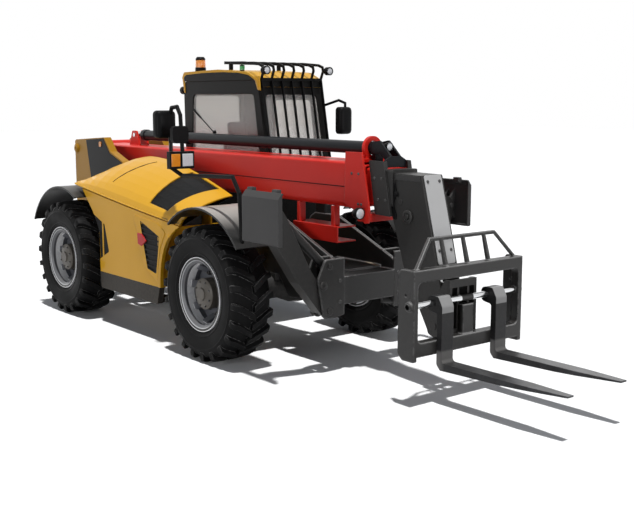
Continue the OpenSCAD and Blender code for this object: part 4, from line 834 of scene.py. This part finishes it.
# wiper on the near side window
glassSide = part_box("cab_glass")[0][1]
wiper = {"foot": (-1.8, 2.034), "tip": (-2.212, 2.279), "rise": 0.014}
footX, footZ = wiper["foot"]
tipX, tipZ = wiper["tip"]
wiperY = glassSide - wiper["rise"]
arm = tubePart([(footX, wiperY, footZ), (footX - 0.03, wiperY, footZ + 0.018),
                (tipX, wiperY + 0.003, tipZ)], 0.0055, 8)
hub = turnedPart([(0, -0.002), (0.024, -0.002), (0.024, 0.008), (0.016, 0.022), (0, 0.022)],
                 (footX, glassSide, footZ), toRight, 24)
blade = platePart([(tipX + 0.13, tipZ - 0.092), (tipX + 0.14, tipZ - 0.08), (tipX - 0.02, tipZ + 0.018),
                   (tipX - 0.03, tipZ + 0.006)], "y", glassSide - 0.016, glassSide + 0.001)
addPiece("sideWiper", joined([arm, hub, blade]), "satinBlack", "chassis")
print("roof and wiper done")


# lamps, beacon and mirrors
beacon = {"spot": (-2.23, 0.35, 2.711), "radius": 0.0575, "flutes": 24}


def beaconPart():
    x, y, z = beacon["spot"]
    r = beacon["radius"]
    profile = [(0, 0.046), (r, 0.046), (r + 0.001, 0.062), (r * 0.97, 0.125), (r * 0.88, 0.145),
               (r * 0.66, 0.158), (r * 0.35, 0.1635), (0, 0.1645)]
    points, faces = turnedPart(profile, (x, y, z), toTop, 4 * beacon["flutes"])
    ridged = []
    for i, p in enumerate(points):
        away = Vector((p[0] - x, p[1] - y, 0))
        ridged.append(Vector(p) + away * (0.02 if i % 4 < 2 else 0.0))
    return ridged, faces


def lensPart(centre, axis, radius, dome=0.01):
    profile = [(0, 0), (radius, 0), (radius, 0.004)]
    profile += [(radius * math.cos(a), 0.004 + dome * math.sin(a)) for a in (0.35, 0.75, 1.15)]
    profile.append((0, 0.004 + dome))
    return turnedPart(profile, centre, axis, 32)


def bezelPart(centre, axis, radius):
    return ringPart([(radius - 0.006, 0.0), (radius - 0.006, 0.012), (radius, 0.014),
                     (radius + 0.003, 0.01), (radius + 0.003, 0.0)], centre, axis, 32)


workLamps = [((-0.8097, y, 2.7), toFront) for y in (0.246, 1.084)]     # front, then rear
workLamps += [((-2.495, y, 2.5), toRear) for y in (0.28, 1.05)]
addPiece("beaconLens", beaconPart(), "amberLens", "chassis", 0, 60)
greenDome = [(0, 0.01), (0.0275, 0.01), (0.0275, 0.046), (0.021, 0.06), (0.01, 0.066), (0, 0.067)]
addPiece("greenLens", turnedPart(greenDome, (-1.3, 0.28, 2.701), toTop, 32),
         "greenLens", "chassis")
addPiece("workLenses", joined([lensPart(spot, axis, 0.036) for spot, axis in workLamps]),
         "clearLens", "chassis")
addPiece("workBezels", joined([bezelPart(spot, axis, 0.042) for spot, axis in workLamps]),
         "satinBlack", "chassis")


def panePart(lens, low, high):
    return boxPart((lens["back"], low, lens["low"]), (lens["front"], high, lens["high"]))


sideCluster = {"back": -0.344, "front": -0.334, "low": 1.788, "high": 1.904,
               "panes": (("clusterAmber", "amberLens", -1.186, -1.094),
                         ("clusterClear", "clearLens", -1.068, -0.956))}
for name, look, low, high in sideCluster["panes"]:
    addPiece(name, panePart(sideCluster, low, high), look, "chassis", 0.004)
tailLens = {"back": -3.951, "front": -3.941, "low": 0.89, "high": 0.97,
            "panes": (("tailRed", "redLens", 0.325, 0.392), ("tailAmber", "amberLens", 0.25, 0.317))}
for name, look, low, high in tailLens["panes"]:
    addPiece(name, bothSides(panePart(tailLens, low, high)), look, "chassis", 0.003)


def roundedOutline(low, high, radius, steps=5):
    left, right = low[0] + radius, high[0] - radius
    foot, top = low[1] + radius, high[1] - radius
    outline = []
    for x, y, turn in ((right, top, 0), (left, top, 90), (left, foot, 180), (right, foot, 270)):
        for i in range(steps + 1):
            a = math.radians(turn + 90 * i / steps)
            outline.append((x + radius * math.cos(a), y + radius * math.sin(a)))
    return outline


mirrorFaces = [((-1.19, 2.052), (-1.0, 2.288), -0.64), ((-1.148, 2.012), (-1.002, 2.148), -0.4),
               ((1.042, 2.042), (1.188, 2.308), -0.64)]
addPiece("mirrorFaces", joined([platePart(roundedOutline(a, b, 0.03), "x", x - 0.002, x + 0.003)
                                for a, b, x in mirrorFaces]),
         "mirrorGlass", "chassis")


# swelling backs of the mirror shells, forward of the flat cases

def shellPart(low, high, x, depth):
    rings = []
    for grow, out in ((0.0, 0.0), (0.004, depth * 0.45), (0.016, depth * 0.8), (0.04, depth)):
        outline = roundedOutline((low[0] + grow, low[1] + grow), (high[0] - grow, high[1] - grow),
                                 max(0.04 - grow * 0.3, 0.02))
        rings.append([(x + out, p[0], p[1]) for p in outline])
    return [p for ring in rings for p in ring], chainFaces(len(rings), len(rings[0]))


addPiece("mirrorShells", joined([shellPart((-1.2, 2.04), (-0.99, 2.3), -0.597, 0.045),
                                 shellPart((1.03, 2.03), (1.2, 2.32), -0.591, 0.045)]),
         "satinBlack", "chassis", 0, 50)
print("lamps and mirrors done")


# boom: seam, clamp band, lamps, bolts, head plates
boomDress = {"seam": 1.64, "half": 0.004, "from": -2.9, "to": 1.02, "outside": -0.1915, "inside": -0.187}
seamUp, seamHalf = boomDress["seam"], boomDress["half"]
seam = boxPart((boomDress["from"], boomDress["outside"], seamUp - seamHalf),
               (boomDress["to"], boomDress["inside"], seamUp + seamHalf))
addPiece("boomSeam", bothSides(seam), "satinBlack", "boom_outer")
collarBolts = [(x, -0.206, z) for x, z in ((1.062, 1.763), (1.152, 1.764), (1.15, 1.5), (1.19, 1.5))]
addPiece("collarBolts", bothSides(boltRow(collarBolts, toRight, 0.018, 0.008)),
         "boltSteel", "boom_outer")
bandRing = [(0.0575, -0.045), (0.07, -0.045), (0.072, -0.03), (0.072, 0.03), (0.07, 0.045),
            (0.0575, 0.045)]
addPiece("barrelBand", ringPart(bandRing, (-1.98, 0, 1.98), toFront, 40),
         "satinBlack", "boom_mid")
lampSpot = (1.215, -0.262, 1.427)
lampBowl = [(0, -0.055), (0.03, -0.055), (0.046, -0.02), (0.052, 0.0), (0.052, 0.03), (0.045, 0.03),
            (0.045, 0.022), (0, 0.022)]
boomLamp = joined([turnedPart(lampBowl, lampSpot, toFront, 32),
                   boxPart((1.195, -0.262, 1.417), (1.225, -0.205, 1.437))])
addPiece("boomLamp", boomLamp, "satinBlack", "boom_outer", 0.002)
addPiece("boomLampLens", lensPart((lampSpot[0] + 0.022, lampSpot[1], lampSpot[2]), toFront, 0.044, 0.008),
         "clearLens", "boom_outer")
print("boom done")

facePlate = {"path": [(1.838, 1.783), (1.975, 1.274), (2.029, 1.06)], "half": 0.1, "thick": 0.01,
             "corner": 0.02}


def facePlatePart():
    path = [Vector((x, 0, z)) for x, z in facePlate["path"]]
    half, corner, thick = facePlate["half"], facePlate["corner"], facePlate["thick"]
    ways = [(b - a).normalized() for a, b in zip(path, path[1:])]
    outs = [Vector((-way.z, 0, way.x)) for way in ways]
    ends = [(u, half - corner + math.sqrt(max(corner ** 2 - (corner - u) ** 2, 0)))
            for u in (0.0, corner * 0.15, corner * 0.5, corner)]
    rows = [(path[0] + ways[0] * u, outs[0], wide) for u, wide in ends]
    rows.append((path[1], (outs[0] + outs[1]).normalized(), half))
    rows += [(path[2] - ways[1] * u, outs[1], wide) for u, wide in reversed(ends)]
    points = []
    for spot, out, wide in rows:
        points += [spot + out * h + Vector((0, v, 0))
                   for v, h in ((-wide, 0.001), (wide, 0.001), (wide, thick), (-wide, thick))]
    bolts = []
    for spot, out in ((path[0] + ways[0] * 0.055, outs[0]), (path[2] - ways[1] * 0.115, outs[1])):
        places = [spot + out * thick + Vector((0, v, 0)) for v in (-0.068, 0.068)]
        bolts.append(boltRow(places, out, 0.02, 0.008))
    return (points, chainFaces(len(rows))), joined(bolts)


plate, plateBolts = facePlatePart()
addPiece("facePlate", plate, "plateGrey", "boom_inner", 0.002)
addPiece("facePlateBolts", plateBolts, "boltSteel", "boom_inner")
cheekSpots = [(x, -0.1623, z) for x, z in ((1.31, 1.735), (1.4, 1.735), (1.36, 1.555), (1.45, 1.555))]
addPiece("cheekBolts", bothSides(boltRow(cheekSpots, toRight, 0.018, 0.009)),
         "boltSteel", "boom_inner")
neckSide = -0.122
bossRing = [(0, 0), (0.058, 0), (0.058, 0.014), (0.046, 0.018), (0.034, 0.018), (0.034, 0.01),
            (0.022, 0.01), (0.02, 0.024), (0, 0.024)]
addPiece("neckBoss", bothSides(turnedPart(bossRing, (1.69, neckSide, 1.43), toRight, 36)),
         "charcoal", "boom_inner", 0.002)
headLamp = {"spot": (1.318, 0.0, 2.0), "radius": 0.034}
lampX, lampY, lampZ = headLamp["spot"]
headBowl = [(0, -0.07), (0.018, -0.07), (0.03, -0.04), (0.038, -0.01), (0.038, 0.012), (0.034, 0.012),
            (0.034, 0.0), (0, 0.0)]
crossPin = [(0, -0.0445), (0.009, -0.0445), (0.009, 0.0445), (0, 0.0445)]
lampShell = joined([turnedPart(headBowl, headLamp["spot"], toFront, 32),
                    turnedPart(crossPin, (lampX - 0.05, lampY, lampZ), toLeft, 16)])
addPiece("headLamp", lampShell, "satinBlack", "boom_mid", 0.001)
addPiece("headLampLens", lensPart(headLamp["spot"], toFront, headLamp["radius"], 0.008),
         "clearLens", "boom_mid")
stripOutline = [(1.5, 1.722), (1.532, 1.7), (1.55, 1.64), (1.54, 1.58), (1.52, 1.53), (1.528, 1.48),
                (1.552, 1.44), (1.548, 1.395), (1.515, 1.4), (1.5, 1.44), (1.496, 1.5), (1.505, 1.56),
                (1.515, 1.62), (1.505, 1.68)]
strip = joined([platePart(stripOutline, "y", neckSide - 0.01, neckSide + 0.001),
                boltPart((1.548, neckSide - 0.009, 1.61), toRight, 0.034, 0.012)])
addPiece("neckStrip", bothSides(strip), "satinBlack", "boom_inner", 0.003)
lip = platePart([(1.512, 1.781), (1.822, 1.776), (1.834, 1.732), (1.512, 1.734)],
                "y", neckSide - 0.004, neckSide + 0.001)
addPiece("neckLip", bothSides(lip), "padGrey", "boom_inner", 0.001)
print("head done")


# towers: dark side panel, reflector and pivot caps
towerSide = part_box("boom_towers")[0][1]
towerDress = {"panel": [(-3.61, 1.914), (-3.162, 1.943), (-3.014, 1.778), (-2.712, 1.674), (-2.64, 1.49),
                        (-2.932, 1.122), (-3.43, 1.122)],
              "pivot": (-3.866, 1.804), "cap": 0.06, "reflector": ((-3.268, 1.842), (-3.216, 1.902))}
panel = platePart(towerDress["panel"], "y", towerSide - 0.003, towerSide + 0.002)
addPiece("towerPanels", bothSides(panel), "satinBlack", "chassis", 0.0015)
glint = platePart(roundedOutline(*towerDress["reflector"], 0.012), "y", towerSide - 0.01, towerSide - 0.002)
addPiece("towerReflectors", bothSides(glint), "amberLens", "chassis", 0.002)
capX, capZ = towerDress["pivot"]
capSpot = (capX, towerSide, capZ)
r = towerDress["cap"]
cap = [(0, -0.002), (r, -0.002), (r, 0.008), (r * 0.8, 0.012), (r * 0.72, 0.007), (0, 0.007)]
addPiece("pivotCaps", bothSides(turnedPart(cap, capSpot, toRight, 40)),
         "shadedTowerYellow", "chassis", 0.001)
pinCap = [(0, 0.0), (0.047, 0.0), (0.047, 0.016), (0.04, 0.02), (0.018, 0.02), (0.016, 0.015), (0, 0.015)]
addPiece("pinCaps", bothSides(turnedPart(pinCap, capSpot, toRight, 36)),
         "shadedTowerYellow", "boom_outer", 0.001)

# fork shaft: bright bearing surface and end nuts
shaft = {"x": 2.25, "z": 0.815, "radius": 0.026,
         "runs": ((-0.597, -0.384), (-0.246, -0.066), (0.066, 0.246), (0.384, 0.597))}
skins = []
for low, high in shaft["runs"]:
    r = shaft["radius"]
    profile = [(r - 0.001, low), (r + 0.0008, low + 0.001), (r + 0.0008, high - 0.001), (r - 0.001, high)]
    skins.append(ringPart(profile, (shaft["x"], 0, shaft["z"]), toLeft, 32))
addPiece("shaftSkin", joined(skins), "hardChrome", "carriage")
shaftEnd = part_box("carriage")[1][1]
nut = boltPart((shaft["x"], shaftEnd - 0.006, shaft["z"]), toLeft, 0.046, 0.006)
addPiece("shaftNuts", bothSides(nut), "boltSteel", "carriage")
print("towers and shaft done")


# front beam and deck
deckTop = 0.88
deckStripe = [(0.6, 0.325), (0.72, 0.325), (0.92, 0.262), (0.92, 0.205)]
addPiece("deckStripe", platePart(deckStripe, "z", deckTop, deckTop + 0.004),
         "deckTan", "chassis")
beamBolts = [(1.08, y, z) for y in (-0.35, 0.35) for z in (0.64, 0.83)]
addPiece("beamBolts", boltRow(beamBolts, toFront, 0.026, 0.012), "boltSteel", "chassis")
earCap = [(0, 0), (0.04, 0), (0.04, 0.01), (0.03, 0.014), (0.012, 0.014), (0.012, 0.006), (0, 0.006)]
earCaps = joined([turnedPart(earCap, (1.082, y, 0.8), toFront, 28) for y in (-0.542, 0.542)])
addPiece("earCaps", earCaps, "charcoal", "chassis", 0.0015)


# camera at the photograph's place
view = {"from": (8.112, -6.092, 2.424), "right": (0.62743, 0.77866, 0.0),
        "up": (-0.11642, 0.09381, 0.98875), "lens": 58.37}
camera = bpy.data.cameras.new("viewCamera")
camera.lens = view["lens"]
camera.sensor_width = 36.0
camera.clip_end = 200.0
viewer = bpy.data.objects.new("viewCamera", camera)
right, up = Vector(view["right"]), Vector(view["up"])
turn = Matrix((right, up, right.cross(up))).transposed()
viewer.matrix_world = Matrix.Translation(view["from"]) @ turn.to_4x4()
scene.collection.objects.link(viewer)
scene.camera = viewer

# studio: pale floor, one lamp above and a soft panel on each side
studio = {"floor": (0.93, 0.93, 0.93, 1), "bounce": (0.42, 0.42, 0.43, 1), "sky": 0.065,
          "skyTint": (0.78, 0.92, 1.18, 1), "sun": 3.4, "sunSoft": 2.0, "panelWide": 5.0, "half": 60}
panels = {"nearSide": ((1.0, -11.0, 2.0), (-0.6, 0, 1.2), 300),     # place, aim, power
          "frontSide": ((12.0, 1.0, 2.4), (0.5, 0, 1.2), 380),
          "farSide": ((-3.0, 11.0, 2.6), (-0.6, 0, 1.2), 170),
          "rearSide": ((-12.0, -1.0, 2.6), (-2.5, 0, 1.2), 150)}


# rays that show a thing to the viewer, and not those that light it
def seenRays(tree):
    path = addNode(tree, "ShaderNodeLightPath").outputs
    mirrored = mathOf("MAXIMUM", path["Is Glossy Ray"], path["Is Transmission Ray"])
    return mathOf("MAXIMUM", path["Is Camera Ray"], mirrored)


def makeFloor():
    tree, bsdf = blankFinish("paleFloor")
    setInputs(bsdf, Base_Color=mixColour(seenRays(tree), studio["bounce"], studio["floor"]),
              Roughness=0.9, Specular_IOR_Level=0.1)
    mesh = bpy.data.meshes.new("studioFloor")
    half = studio["half"]
    corners = [(-half, -half, 0), (half, -half, 0), (half, half, 0), (-half, half, 0)]
    mesh.from_pydata(corners, [], [[0, 1, 2, 3]])
    mesh.materials.append(finish["paleFloor"])
    floor = bpy.data.objects.new("studioFloor", mesh)
    scene.collection.objects.link(floor)


def makeSky():
    world = bpy.data.worlds.new("studioSky")
    scene.world = world
    world.use_nodes = True
    tree = world.node_tree
    seen = seenRays(tree)
    setInputs(tree.nodes["Background"], Strength=rangeOf(seen, 0.0, 1.0, studio["sky"], 1.0),
              Color=mixColour(seen, studio["skyTint"], (1, 1, 1, 1)))


def addLamp(name, kind, place, aim, power, size):
    lamp = bpy.data.lights.new(name, kind)
    lamp.energy = power
    if kind == "AREA":
        lamp.size = size
    else:
        lamp.angle = math.radians(size)
    obj = bpy.data.objects.new(name, lamp)
    obj.location = place
    obj.rotation_euler = (Vector(aim) - Vector(place)).to_track_quat("-Z", "Y").to_euler()
    scene.collection.objects.link(obj)


makeFloor()
makeSky()
addLamp("overhead", "SUN", (1.6, -0.8, 10.0), (0, 0, 0), studio["sun"], studio["sunSoft"])
for name, (place, aim, power) in panels.items():
    addLamp(name, "AREA", place, aim, power, studio["panelWide"])
scene.view_settings.view_transform = "Standard"
print("studio set")
